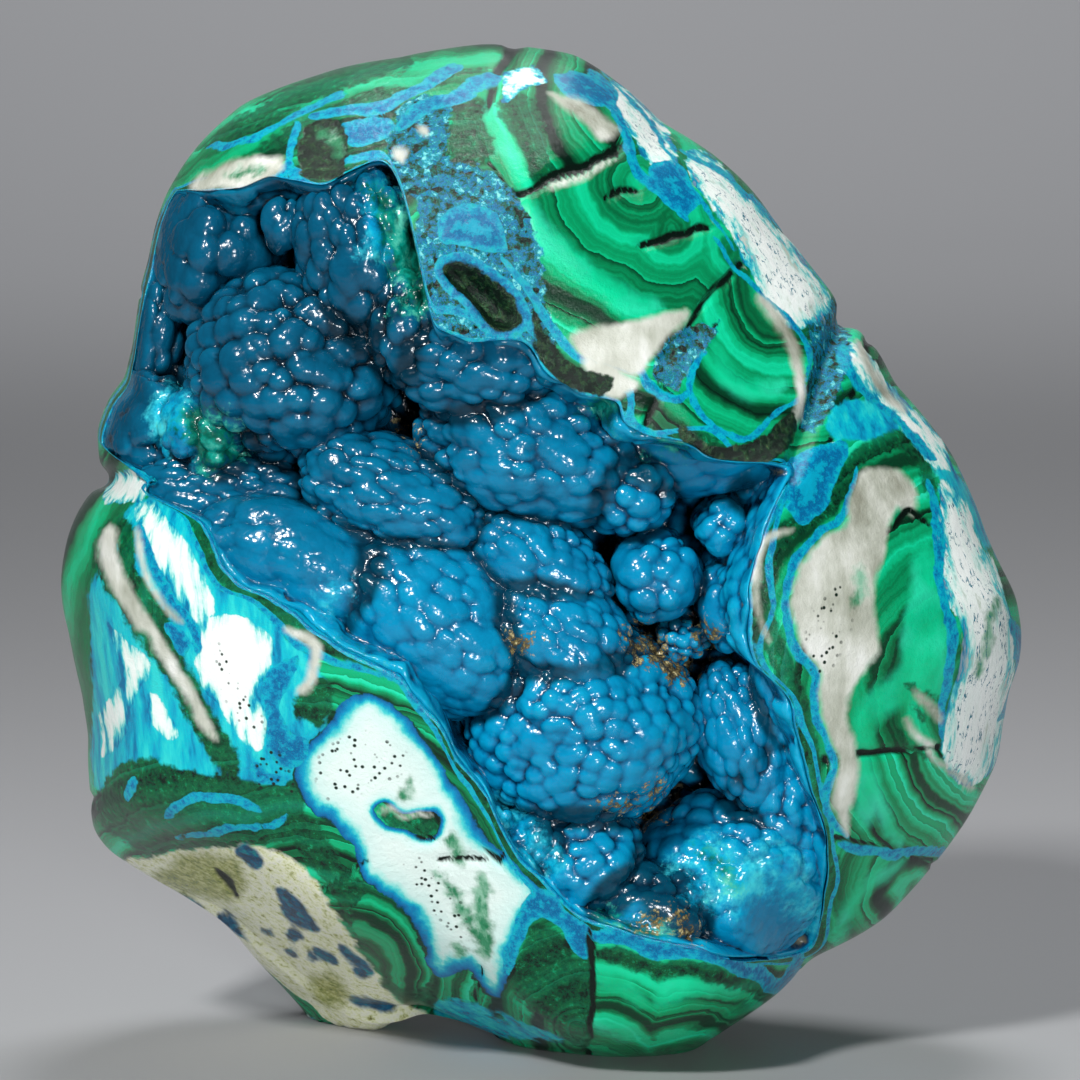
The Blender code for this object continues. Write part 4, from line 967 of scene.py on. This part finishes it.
def makeLining():
    s = crustShape
    angle = evenAngles(s["columns"])
    mouth = mouthRadius(angle)
    start = s["start"] + s["start"] * layeredNoise(flatRing(angle, mouth), 5.0, 46, 3)
    start = np.clip(start, 0.006, 0.12)
    rings = []
    for k in range(1, s["rings"] + 1):
        turn = start + (1.0 - start) * (1.0 - k / s["rings"])
        wall = vugPoint(angle, turn, s["wallGap"])
        domes = np.sqrt(unit(1.0 - (bubbleDistance(wall, s["cell"], 40)[0] / s["bubble"]) ** 2))
        ragged = layeredNoise(wall, 9.0, 44, 2)
        film = np.clip(s["film"] + 0.5 * ragged, 0.12, 2.0)
        thick = film + s["dome"] * domes * np.clip(0.9 + ragged, 0.2, 1.6)
        thick = thick * np.sqrt(unit((turn - start) / 0.06)) - 0.06
        depth = wall[:, 1] - (s["floorFilm"] + s["floorDome"] * domes) * np.sqrt(turn - start)
        rings.append(drawnIn(wall, 1.0 - thick / np.maximum(mouth, 1.0), depth))
    for k in range(s["backRings"]):
        wall = vugPoint(angle, start + (1.0 - start) * k / s["backRings"], 0.0)
        rings.append(drawnIn(wall, 1.03, wall[:, 1] + (s["behindWall"] if k else 0.0)))
    first = [middle["x"], form["floor"] - 3.4, middle["z"]]
    last = [middle["x"], form["floor"] + s["behindWall"], middle["z"]]
    return ringMesh("grape_crust", np.array(rings), first, last)


# Room for the crust: just inside the vug's wall, closed just under the polished face.
roomShape = {"columns": 600, "faceRings": 40, "wallRings": 30, "under": 0.08}


def makeRoom():
    s = roomShape
    angle = evenAngles(s["columns"])
    mouth = mouthRadius(angle)
    share = mouth / outerRadius(angle) * (1.0 - crustShape["wallGap"] / np.maximum(mouth, 1.0))
    under = np.array([0.0, s["under"], 0.0])
    steps = np.arange(1, s["faceRings"] + 1) / s["faceRings"]
    rings = [skinPoint(angle, share * step, inFront) + under for step in steps]
    rings += [vugPoint(angle, k / s["wallRings"], crustShape["wallGap"]) for k in range(1, s["wallRings"])]
    first = skinPoint(np.zeros(1), 0.0, inFront)[0] + under
    last = [middle["x"], form["floor"] - crustShape["wallGap"], middle["z"]]
    return ringMesh("room", np.array(rings), first, last)


def addBoolean(thing, operation, operand):
    modifier = thing.modifiers.new(operation, "BOOLEAN")
    modifier.operation = operation
    modifier.solver = "MANIFOLD"
    if isinstance(operand, bpy.types.Collection):
        modifier.operand_type = "COLLECTION"
        modifier.collection = operand
    else:
        modifier.object = operand


def bakeModifiers(thing):
    graph = bpy.context.evaluated_depsgraph_get()
    mesh = bpy.data.meshes.new_from_object(thing.evaluated_get(graph), depsgraph=graph)
    thing.modifiers.clear()
    mesh.name = thing.name
    thing.data = mesh


# Where the crust is stained, in seen millimetres: half widths and lines, as on the stone.
crustMarks = {
    "green": [
        (2.2, [(-36.0, 64.0), (-32.5, 61.0), (-30.5, 60.0)]),
        (3.0, [(-13.5, 83.0), (-12.6, 77.0), (-11.5, 74.0)]),
        (1.6, [(-19.0, 86.5), (-15.0, 84.0), (-13.5, 79.5)]),
        (1.4, [(5.0, 66.5), (8.5, 64.0), (11.0, 62.0), (14.0, 60.5)]),
        (1.2, [(-24.5, 41.5), (-20.5, 39.5), (-15.0, 36.5)]),
        (1.3, [(15.5, 20.0), (18.0, 17.6), (19.0, 15.6)]),
        (1.0, [(5.0, 13.4), (9.0, 12.4), (13.0, 12.4)]),
    ],
    "aqua": [
        (2.4, [(-18.0, 87.0), (-16.5, 83.0), (-16.0, 79.0)]),
        (2.2, [(-37.5, 66.0), (-35.0, 60.0)]),
        (3.4, [(14.0, 19.0), (18.0, 18.0), (22.0, 16.0)]),
        (1.6, [(23.0, 21.0), (26.0, 16.0), (26.5, 12.0)]),
        (1.6, [(-6.0, 25.5), (-2.0, 21.5), (2.0, 18.0)]),
        (1.2, [(-22.0, 44.0), (-20.0, 47.0)]),
    ],
    "crumb": [
        (1.2, [(9.6, 42.6), (12.0, 39.6), (14.6, 38.0)]),
        (0.8, [(15.2, 42.8), (17.6, 41.6)]),
        (0.6, [(-14.2, 62.6), (-12.8, 61.0)]),
        (0.7, [(10.2, 12.8), (13.0, 13.8), (15.4, 12.4)]),
        (0.5, [(11.7, 27.2), (10.4, 23.6)]),
        (0.5, [(5.2, 24.2), (9.0, 24.8), (12.4, 23.6)]),
        (0.4, [(-2.0, 41.6), (0.6, 40.4)]),
    ],
}


# How far each vertex stands out, in mm, over a copy of the mesh that is calmed in rounds: in each,
# every point moves half way to the mean of its neighbours.
def crestValue(mesh, rounds):
    ends = np.empty(len(mesh.edges) * 2, dtype=np.int32)
    mesh.edges.foreach_get("vertices", ends)
    a, b = ends[0::2], ends[1::2]
    count = len(mesh.vertices)
    degree = np.maximum(np.bincount(a, minlength=count) + np.bincount(b, minlength=count), 1)
    points = meshVectors(mesh, "co") / mm
    smooth = points.copy()
    for step in range(rounds):
        around = [np.bincount(a, v[b], count) + np.bincount(b, v[a], count) for v in smooth.T]
        smooth = 0.5 * smooth + 0.5 * np.stack([total / degree for total in around], axis=1)
    return np.sum((points - smooth) * meshVectors(mesh, "normal"), axis=1)


# Gap in mm to the second nearest lobe, each taken as a smooth ball squeezed to its half sizes: it
# comes to nothing in the crease where two lobes meet.
def lobeGap(x, z, under):
    gaps = []
    for atX, atZ, crown, wide, high, lean in (lobe[:6] for lobe in lobes):
        turn = math.radians(lean)
        across = (x - atX) * math.cos(turn) + (z - atZ) * math.sin(turn)
        along = (z - atZ) * math.cos(turn) - (x - atX) * math.sin(turn)
        deep = min(wide, high)
        before = np.minimum(under - crown - deep, 0.0)
        away = np.sqrt((across / wide) ** 2 + (along / high) ** 2 + (before / deep) ** 2)
        gaps.append((away - 1.0) * 0.5 * (wide + high))
    return np.partition(np.array(gaps), 1, axis=0)[1]


# Fine and broad relief, depth under the dome and the creases, which steer the painted shade, the
# painted shade high up on the left, and the stains.
def markCrust(mesh):
    points = meshVectors(mesh, "co") / mm
    x, z = seenFrom(points)
    sway = layeredNoise(points, 3.0, 500, 3)
    onForm = points - shift
    angle, share = polarPlace(onForm[:, 0], onForm[:, 2])
    under = onForm[:, 1] - domeDepth(angle, unit(share), inFront)
    values = {
        "crest": crestValue(mesh, 6),
        "swell": crestValue(mesh, 40),
        "under": under,
        "gap": np.clip(lobeGap(x, z, under), -reach, reach),
        # painted shade, strongest high up on the left
        "shade": unit((z - 50.0 - 0.35 * x) / 26.0 + 0.15 * sway),
    }
    for name, lines in crustMarks.items():
        depths = [strokeDepth(x + sway, z + 0.7 * sway, stroke) for stroke in lines]
        values[name] = np.maximum(np.max(depths, axis=0), -reach) + 0.8 * sway
    for name, depth in values.items():
        storeValue(mesh, name, depth)


def makeCrust():
    crust = makeLining()
    tools = bpy.data.collections.new("tools")
    bpy.context.scene.collection.children.link(tools)
    for index, lobe in enumerate(lobes):
        makeLobe(index, lobe, tools)
    room = makeRoom()
    addBoolean(crust, "UNION", tools)
    addBoolean(crust, "INTERSECT", room)
    bakeModifiers(crust)
    for thing in list(tools.objects) + [room]:
        bpy.data.objects.remove(thing, do_unlink=True)
    bpy.data.collections.remove(tools)
    markCrust(crust.data)
    # the smoothest parts, most of them hidden, are thinned first
    triangles = len(crust.data.loops) - 2 * len(crust.data.polygons)
    thinning = crust.modifiers.new("thinning", "DECIMATE")
    thinning.ratio = min(1.0, crustShape["triangles"] / triangles)
    thinning.use_collapse_triangulate = True
    bakeModifiers(crust)
    print("crust", triangles, "triangles thinned to", len(crust.data.polygons))
    return crust


def linear(hexColour):
    parts = [int(hexColour[k:k + 2], 16) / 255.0 for k in (1, 3, 5)]
    return [p / 12.92 if p <= 0.04045 else ((p + 0.055) / 1.055) ** 2.4 for p in parts] + [1.0]


def setRamp(ramp, stops):
    while len(ramp.elements) < len(stops):
        ramp.elements.new(1.0)
    for element, (place, colour) in zip(ramp.elements, stops):
        element.position = place
        element.color = linear(colour)


# A node's settings: the stops of a colour ramp, its own values by name, and its inputs by name or
# number, each with a value or the output that feeds it.
def setNode(node, settings):
    for name, value in settings.items():
        if name == "stops":
            setRamp(node.color_ramp, value)
        elif isinstance(value, bpy.types.NodeSocket):
            node.id_data.links.new(value, node.inputs[name])
        elif isinstance(name, str) and hasattr(node, name):
            setattr(node, name, value)
        else:
            node.inputs[name].default_value = value


# A node with its settings. It gives back its first output, or the one asked for.
def addNode(tree, kind, settings, output=0):
    node = tree.nodes.new("ShaderNode" + kind)
    setNode(node, settings)
    return node.outputs[output]


def newMaterial(name):
    material = bpy.data.materials.new(name)
    material.use_nodes = True
    return material, material.node_tree.nodes["Principled BSDF"]


# Places in millimetres for the patterns, and the marks stored on the mesh.
def patternInputs(tree, names):
    place = addNode(tree, "TexCoord", {}, "Object")
    place = addNode(tree, "Mapping", {"Vector": place, "Scale": (1000.0, 1000.0, 1000.0)})
    return place, {name: addNode(tree, "Attribute", {"attribute_name": name}, "Fac") for name in names}


# Banded malachite: broad and fine growth bands from near black green to bright green, cut flat and
# polished to a wet gloss, a little broken by its grain. Scales are per millimetre; noises are a
# scale, layers and roughness, and streaks are drawn out along a lean. The bands are bent by the
# waver and the growth steps by the broad bands, with shares for the fine bands and for the steps,
# and the range of their noise is spread over the colours. The gloss goes from its first
# roughness to its second: the polish stands a share of the way, and rough patches at the end.
malachite = {
    "bands": [(0.10, "#001A0F"), (0.26, "#013E24"), (0.38, "#016A3E"), (0.52, "#02905A"), (0.68, "#04B278"),
              (0.86, "#0CD29A"), (1.0, "#24E2B6")],
    "broad": 0.34, "fine": 1.9, "step": 0.17, "bend": 0.7, "stepBend": 1.6, "fineShare": 0.26,
    "stepShare": 0.40, "range": (0.30, 0.70),
    "noises": {"waver": (0.9, 3.0, 0.55), "grain": (0.16, 3.0, 0.5), "clot": (1.25, 5.0, 0.75),
               "streak": (0.62, 4.0, 0.62)},
    "lean": math.radians(36.0), "drawn": 0.22, "cells": 1.3,
    "polish": 0.5, "gloss": (0.07, 0.26), "ior": 1.55, "specular": 0.35, "grit": 0.0006,
    "stains": {"buff": "#CCD8CC", "teal": "#14748A", "dot": "#12261C", "crack": "#04140D"},
}
# Layers over the malachite, lowest first: mark, least depth in mm, edge softness in mm, waver in
# mm, what the colour follows, how much that is stirred, and the colours from low to high.
skinLayers = [
    ("bright", 0.0, 1.3, 0.8, "grain", 0.0, [(0.3, "#08B47A"), (0.5, "#0CD69C"), (0.7, "#34E8BC")]),
    ("aqua", 0.0, 0.5, 1.2, "streak", 0.0,
     [(0.32, "#0278A4"), (0.42, "#04A0C4"), (0.52, "#08BECE"), (0.64, "#2CD4D4")]),
    ("dark", 0.0, 0.5, 1.6, "clot", 0.0,
     [(0.34, "#00120B"), (0.44, "#01301E"), (0.51, "#025034"), (0.56, "#0C4A1E"), (0.61, "#04704A"),
      (0.70, "#0A9C6A")]),
    ("mottle", 0.0, 0.3, 2.0, "fleck", 0.0,
     [(0.34, "#000E0A"), (0.40, "#01382A"), (0.445, "#026A50"), (0.48, "#02588A"), (0.515, "#0284BC"),
      (0.55, "#02705A"), (0.60, "#04A2C4"), (0.67, "#7CE0D8")]),
    ("rock", 0.0, 0.5, 1.0, "clot", 0.0,
     [(0.28, "#22200F"), (0.34, "#A6AA62"), (0.42, "#E0E4AC"), (0.50, "#F6F8D8"), (0.60, "#FAFBEC"),
      (0.70, "#C0C684")]),
    ("inky", 0.0, 0.5, 0.5, "fleck", 0.0,
     [(0.30, "#012838"), (0.45, "#02486C"), (0.55, "#046288"), (0.66, "#078C92"), (0.76, "#0AA08C")]),
    ("ridge", 0.0, 0.2, 0.9, "depth", 0.9,
     [(0.42, "#04709E"), (0.48, "#06A0C0"), (0.53, "#5CD4D2"), (0.58, "#CCF2EA"), (0.65, "#F0FBF6"),
      (0.85, "#F8FEFB")]),
    ("white", -1.3, 0.15, 0.9, "rim", 0.35,
     [(0.340, "#033E2C"), (0.360, "#04609C"), (0.405, "#0484B8"), (0.440, "#08A8C8"), (0.475, "#4CD4D4"),
      (0.515, "#B0ECE4"), (0.57, "#D8F4EE"), (0.80, "#E6F7F1")]),
    ("blue", 0.0, 0.15, 0.5, "vein", 0.65,
     [(0.42, "#02A4A8"), (0.48, "#04B0C4"), (0.53, "#0298BC"), (0.58, "#0280AE"), (0.65, "#015C92"),
      (0.74, "#02A0C0")]),
    ("cream", 0.0, 0.9, 0.6, "silk", 0.0,
     [(0.34, "#969888"), (0.44, "#B6BAAC"), (0.54, "#D2D5CA"), (0.66, "#EDEFEA")]),
    ("pore", 0.0, 0.3, 1.2, "clot", 0.0,
     [(0.34, "#000805"), (0.46, "#02180F"), (0.53, "#06341F"), (0.58, "#2C3C1A"), (0.64, "#0A5A3C"),
      (0.72, "#8A7A4E")]),
    ("olive", 0.0, 1.6, 1.4, "clot", 0.0, [(0.36, "#6A7A34"), (0.5, "#A6AC5E"), (0.62, "#D0D092")]),
    ("moss", 0.0, 1.2, 2.0, "streak", 0.0, [(0.38, "#1C7A4E"), (0.5, "#3E9068"), (0.62, "#8CC0A4")]),
]
stirredBy = {"depth": "streak", "rim": "silk", "vein": "clot"}  # where the colour follows the depth
showThrough = {"bright": 0.25, "dark": 0.2}  # how much of the malachite's bands shows in a layer


# The noises that the colours follow, and the cells of the flecks and dots.
def stoneNoises(tree, place):
    drawn = addNode(tree, "Mapping", {"Vector": place, "Rotation": (0.0, malachite["lean"], 0.0),
                                      "Scale": (1.0, 1.0, malachite["drawn"])})
    noise = {}
    for name, (scale, detail, roughness) in malachite["noises"].items():
        settings = {"Vector": drawn if name == "streak" else place, "Scale": scale, "Detail": detail}
        noise[name] = addNode(tree, "TexNoise", {**settings, "Roughness": roughness})
    noise["silk"] = addNode(tree, "Mix", {0: 0.3, 2: noise["grain"], 3: noise["streak"]})
    cells = addNode(tree, "TexVoronoi", {"Vector": place, "Scale": malachite["cells"], "Randomness": 1.0})
    fleck = addNode(tree, "SeparateColor", {"Color": cells.node.outputs["Color"]})
    noise["fleck"] = addNode(tree, "Mix", {0: 0.2, 2: noise["clot"], 3: fleck})
    return noise, cells


# Bands along the growth: broad and fine noise, and steps that each climb from dark to bright and
# drop back sharply.
def malachiteBands(tree, waver, phase):
    s = malachite
    bent = addNode(tree, "Math", {"operation": "MULTIPLY_ADD", 0: waver, 1: s["bend"], 2: phase})
    bands = []
    for scale, detail in ((s["broad"], 0.0), (s["fine"], 2.0)):
        at = addNode(tree, "Math", {"operation": "MULTIPLY", 0: bent, 1: scale})
        settings = {"noise_dimensions": "1D", "W": at, "Scale": 1.0, "Detail": detail}
        bands.append(addNode(tree, "TexNoise", settings))
    climb = addNode(tree, "Math", {"operation": "MULTIPLY", 0: bent, 1: s["step"]})
    climb = addNode(tree, "Math", {"operation": "MULTIPLY_ADD", 0: bands[0], 1: s["stepBend"], 2: climb})
    climb = addNode(tree, "Math", {"operation": "FRACT", 0: climb})
    both = addNode(tree, "Mix", {0: s["fineShare"], 2: bands[0], 3: bands[1]})
    both = addNode(tree, "MapRange", {0: both, 1: s["range"][0], 2: s["range"][1]})
    both = addNode(tree, "Mix", {0: s["stepShare"], 2: both, 3: climb})
    return addNode(tree, "ValToRGB", {0: both, "stops": s["bands"]})


# Buff stains and thin teal veins in the weathered white, black dots, and dark cracks.
def stainsAndCracks(tree, colour, noise, cells, marks):
    dot = addNode(tree, "MapRange", {0: cells, 1: 0.30, 2: 0.18})
    inDots = addNode(tree, "MapRange", {0: marks["dots"], 1: -0.3, 2: 0.5})
    dot = addNode(tree, "Math", {"operation": "MULTIPLY", 0: dot, 1: inDots})
    inSpecks = addNode(tree, "MapRange", {0: marks["speckle"], 1: -0.5, 2: 1.0})
    veinGap = addNode(tree, "Math", {"operation": "SUBTRACT", 0: noise["streak"], 1: 0.53})
    veinGap = addNode(tree, "Math", {"operation": "ABSOLUTE", 0: veinGap})
    broken = addNode(tree, "MapRange", {0: noise["clot"], 1: 0.44, 2: 0.60, 4: 0.022})
    thin = addNode(tree, "Math", {"operation": "SUBTRACT", 0: broken, 1: veinGap})
    stains = []
    for value, low, high in ((noise["streak"], 0.40, 0.34), (thin, 0.0, 0.006)):
        stain = addNode(tree, "MapRange", {0: value, 1: low, 2: high})
        stains.append(addNode(tree, "Math", {"operation": "MULTIPLY", 0: stain, 1: inSpecks}))
    crack = addNode(tree, "MapRange", {0: marks["crack"], 1: -0.22, 2: 0.0})
    for mask, tint in zip(stains + [dot, crack], malachite["stains"].values()):
        colour = addNode(tree, "Mix", {"data_type": "RGBA", 0: mask, 6: colour, 7: linear(tint)}, 2)
    return colour


def polishedStone():
    material, shader = newMaterial("polished malachite and chrysocolla")
    tree = material.node_tree
    place, marks = patternInputs(tree, list(hidden) + ["crack", "phase"])
    noise, cells = stoneNoises(tree, place)
    waver = noise["waver"]
    green = malachiteBands(tree, waver, marks["phase"])
    colour, rough = green, malachite["polish"]
    for name, least, soft, sway, by, stir, stops in skinLayers:
        depth = addNode(tree, "Math", {"operation": "MULTIPLY_ADD", 0: waver, 1: sway, 2: marks[name]})
        depth = addNode(tree, "Math", {"operation": "SUBTRACT", 0: depth, 1: 0.5 * sway})
        mask = addNode(tree, "MapRange", {"interpolation_type": "SMOOTHSTEP", 0: depth, 1: least - soft / 2.0,
                                          2: least + soft / 2.0})
        if by in stirredBy:
            value = addNode(tree, "MapRange", {0: depth, 1: -reach, 2: reach})
            stirred = noise[stirredBy[by]]
            value = addNode(tree, "Math", {"operation": "MULTIPLY_ADD", 0: stirred, 1: stir, 2: value})
            value = addNode(tree, "Math", {"operation": "SUBTRACT", 0: value, 1: 0.5 * stir})
        else:
            value = noise[by]
        over = addNode(tree, "ValToRGB", {0: value, "stops": stops})
        if name in showThrough:
            over = addNode(tree, "Mix", {"data_type": "RGBA", 0: showThrough[name], 6: over, 7: green}, 2)
        colour = addNode(tree, "Mix", {"data_type": "RGBA", 0: mask, 6: colour, 7: over}, 2)
        if name in ("mottle", "pore"):
            rough = addNode(tree, "Math", {"operation": "MAXIMUM", 0: rough, 1: mask})
    colour = stainsAndCracks(tree, colour, noise, cells, marks)
    smooth, dull = malachite["gloss"]
    gloss = addNode(tree, "MapRange", {0: rough, 3: smooth, 4: dull})
    uneven = addNode(tree, "Math", {"operation": "MULTIPLY", 0: rough, 1: 0.7})
    bump = addNode(tree, "Bump", {"Height": noise["clot"], "Strength": uneven, "Distance": malachite["grit"]})
    setNode(shader, {"Base Color": colour, "Roughness": gloss, "IOR": malachite["ior"],
                     "Specular IOR Level": malachite["specular"], "Normal": bump})
    return material


# Botryoidal chrysocolla: an opaque, waxy blue skin of small domes with a glassy lustre. Its colour
# has painted shade: darker in the hollows and creases, deep in the vug and high up on the left, and
# lighter on the crests. It has buff dust in some of the deepest creases, and is stained green and
# turquoise and crumbed with buff in places. Stains are a spread by the clots, and the least and full
# values of their masks.
crustFinish = {
    # relief: the blue, darkened by painted shade in the hollows and lighter on the crests
    "relief": [(0.0, "#010E18"), (0.22, "#02304C"), (0.42, "#025E88"), (0.62, "#0286B2"), (1.0, "#0CAACE")],
    # shade: a darker copy of the blue, for the painted shade high up on the left
    "shade": [(0.0, "#000A10"), (0.25, "#021C2C"), (0.45, "#023850"), (0.65, "#035474"), (1.0, "#067698")],
    "green": [(0.34, "#02302A"), (0.46, "#045E4E"), (0.55, "#0A9080"), (0.68, "#5CC8B0")],
    "aqua": [(0.34, "#0284B4"), (0.5, "#06A4C6"), (0.66, "#3CC8D6")],
    "crumb": [(0.34, "#0E0C08"), (0.5, "#3A3222"), (0.60, "#7E7048"), (0.70, "#CCBE90")],
    # crease: painted shade where lobes meet; dust: buff dust in the deepest hollows
    "crease": "#010C14", "dust": "#7A7558",
    "stains": {"aqua": (5.0, 1.8, 4.2), "green": (7.0, 3.0, 5.0), "crumb": (9.0, 4.5, 5.4)},
    "noises": {"cloud": (0.35, 4.0, 0.6), "clot": (1.4, 4.0, 0.7), "grit": (1.1, 2.0, 0.5)},
    "roughness": 0.19, "ior": 1.47, "specular": 0.45, "domes": 1.25, "bump": 0.28, "bumpHeight": 0.00025,
}


def glossyCrust():
    s = crustFinish
    material, shader = newMaterial("glassy chrysocolla crust")
    tree = material.node_tree
    place, marks = patternInputs(tree, ("crest", "swell", "under", "gap", "shade", "green", "aqua", "crumb"))
    noise = {}
    for name, (scale, detail, roughness) in s["noises"].items():
        settings = {"Vector": place, "Scale": scale, "Detail": detail, "Roughness": roughness}
        noise[name] = addNode(tree, "TexNoise", settings)
    cloud, clot = noise["cloud"], noise["clot"]
    # painted shade: the blue darkens into the hollows between domes and lobes and lightens on their crests
    fine = addNode(tree, "MapRange", {0: marks["crest"], 1: -0.12, 2: 0.08})
    broad = addNode(tree, "MapRange", {0: marks["swell"], 1: -0.6, 2: 0.5})
    relief = addNode(tree, "Mix", {0: 0.45, 2: fine, 3: broad})
    relief = addNode(tree, "Mix", {0: 0.3, 2: relief, 3: cloud})
    # painted shade: darker the deeper the crust lies under the face, inside the vug
    sunk = addNode(tree, "MapRange", {0: marks["under"], 1: 6.0, 2: 22.0, 3: 0.0, 4: -0.32})
    relief = addNode(tree, "Math", {"operation": "ADD", 0: relief, 1: sunk})
    # painted shade: a lit and a shaded copy of the blue, and the shaded one is taken high up on the left
    lit, shaded = [addNode(tree, "ValToRGB", {0: relief, "stops": s[name]}) for name in ("relief", "shade")]
    colour = addNode(tree, "Mix", {"data_type": "RGBA", 0: marks["shade"], 6: lit, 7: shaded}, 2)
    # painted shade: near black in the creases where two lobes meet
    crease = addNode(tree, "MapRange", {"interpolation_type": "SMOOTHSTEP", 0: marks["gap"], 1: 0.9, 2: -0.15,
                                        3: 0.0, 4: 0.8})
    dust = addNode(tree, "MapRange", {0: marks["crest"], 1: -0.14, 2: -0.30, 3: 0.0, 4: 0.6})
    some = addNode(tree, "MapRange", {0: cloud, 1: 0.50, 2: 0.58})
    dust = addNode(tree, "Math", {"operation": "MULTIPLY", 0: dust, 1: some})
    for mask, name in ((crease, "crease"), (dust, "dust")):
        colour = addNode(tree, "Mix", {"data_type": "RGBA", 0: mask, 6: colour, 7: linear(s[name])}, 2)
    for name, (spread, low, high) in s["stains"].items():
        mask = addNode(tree, "Math", {"operation": "MULTIPLY_ADD", 0: clot, 1: spread, 2: marks[name]})
        mask = addNode(tree, "MapRange", {0: mask, 1: low, 2: high})
        stain = addNode(tree, "ValToRGB", {0: clot if name == "crumb" else cloud, "stops": s[name]})
        colour = addNode(tree, "Mix", {"data_type": "RGBA", 0: mask, 6: colour, 7: stain}, 2)
    # faint domes and grit break every reflection a little
    domes = addNode(tree, "TexVoronoi", {"Vector": place, "Scale": s["domes"]})
    domes = addNode(tree, "Math", {"operation": "MULTIPLY", 0: domes, 1: domes})
    height = addNode(tree, "Math", {"operation": "SUBTRACT", 0: noise["grit"], 1: domes})
    bump = addNode(tree, "Bump", {"Height": height, "Strength": s["bump"], "Distance": s["bumpHeight"]})
    setNode(shader, {"Base Color": colour, "Roughness": s["roughness"], "IOR": s["ior"],
                     "Specular IOR Level": s["specular"], "Normal": bump})
    return material


stone = makeStone()
crust = makeCrust()
stone.data.materials.append(polishedStone())
crust.data.materials.clear()
crust.data.materials.append(glossyCrust())
for piece, node in ((stone, "polished_nodule"), (crust, "botryoidal_crust")):
    piece.data.polygons.foreach_set("use_smooth", np.ones(len(piece.data.polygons), dtype=bool))
    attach(piece, "root")
    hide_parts(node)
print("pieces ride and carry their materials")


# Pale floor that turns up into a plain backdrop through a quarter circle. Sizes are in metres.
sweep = {"half": 4.0, "front": -4.0, "bend": 1.2, "radius": 0.7, "height": 4.0, "colour": "#A2A3A6"}


def makeFloor():
    turn = np.linspace(0.0, math.pi / 2.0, 25)
    y = np.concatenate([[sweep["front"]], sweep["bend"] + sweep["radius"] * np.sin(turn),
                        [sweep["bend"] + sweep["radius"]]])
    z = np.concatenate([[0.0], sweep["radius"] * (1.0 - np.cos(turn)), [sweep["height"]]])
    points = [(x, b, c) for b, c in zip(y, z) for x in (-sweep["half"], sweep["half"])]
    faces = [(2 * k, 2 * k + 1, 2 * k + 3, 2 * k + 2) for k in range(len(y) - 1)]
    floor = addMesh("floor", points, faces)
    material, shader = newMaterial("matte pale floor")
    setNode(shader, {"Base Color": linear(sweep["colour"]), "Roughness": 0.8})
    floor.data.materials.append(material)


# Soft square lights: place and aim and size in metres, power in watts, spread and colour.
heart = (0.0, 0.0, 0.05)
lights = {
    "key": ((-0.34, -0.56, 0.62), heart, 0.11, 0.92, 70.0, (1.0, 0.99, 0.97)),
    "fill": ((0.14, -0.80, 0.10), heart, 0.11, 0.36, 60.0, (0.97, 0.99, 1.0)),
    "top": ((0.06, 0.22, 0.76), heart, 0.22, 0.74, 90.0, (1.0, 1.0, 1.0)),
    "backdrop": ((0.0, 0.75, 1.3), (0.0, 1.9, 0.5), 0.6, 12.0, 150.0, (1.0, 1.0, 1.0)),
}
softRoom = {"colour": "#C9CCD2", "strength": 0.11}


def makeLights():
    for name, (spot, aimAt, size, power, spread, colour) in lights.items():
        data = bpy.data.lights.new(name, "AREA")
        data.size = size
        data.energy = power
        data.spread = math.radians(spread)
        data.color = colour
        lamp = bpy.data.objects.new(name, data)
        lamp.location = spot
        aim = np.array(aimAt) - np.array(spot)
        flat = math.hypot(aim[0], aim[1])
        lamp.rotation_euler = (math.pi / 2.0 + math.atan2(aim[2], flat), 0.0, math.atan2(-aim[0], aim[1]))
        bpy.context.scene.collection.objects.link(lamp)
    world = bpy.data.worlds.new("soft room")
    world.use_nodes = True
    background = world.node_tree.nodes["Background"]
    setNode(background, {"Color": linear(softRoom["colour"]), "Strength": softRoom["strength"]})
    bpy.context.scene.world = world
    bpy.context.scene.view_settings.view_transform = "Standard"


def makeCamera():
    data = bpy.data.cameras.new("camera")
    data.lens = look["lens"]
    data.sensor_width = look["sensor"]
    data.clip_end = 40.0
    camera = bpy.data.objects.new("camera", data)
    away, tilt = look["distance"] * mm, look["tilt"]
    camera.location = (look["x"] * mm, -away * math.cos(tilt), look["z"] * mm + away * math.sin(tilt))
    camera.rotation_euler = (math.pi / 2.0 - tilt, 0.0, 0.0)
    bpy.context.scene.collection.objects.link(camera)
    bpy.context.scene.camera = camera


makeFloor()
makeLights()
makeCamera()
print("floor, lights and camera stand")
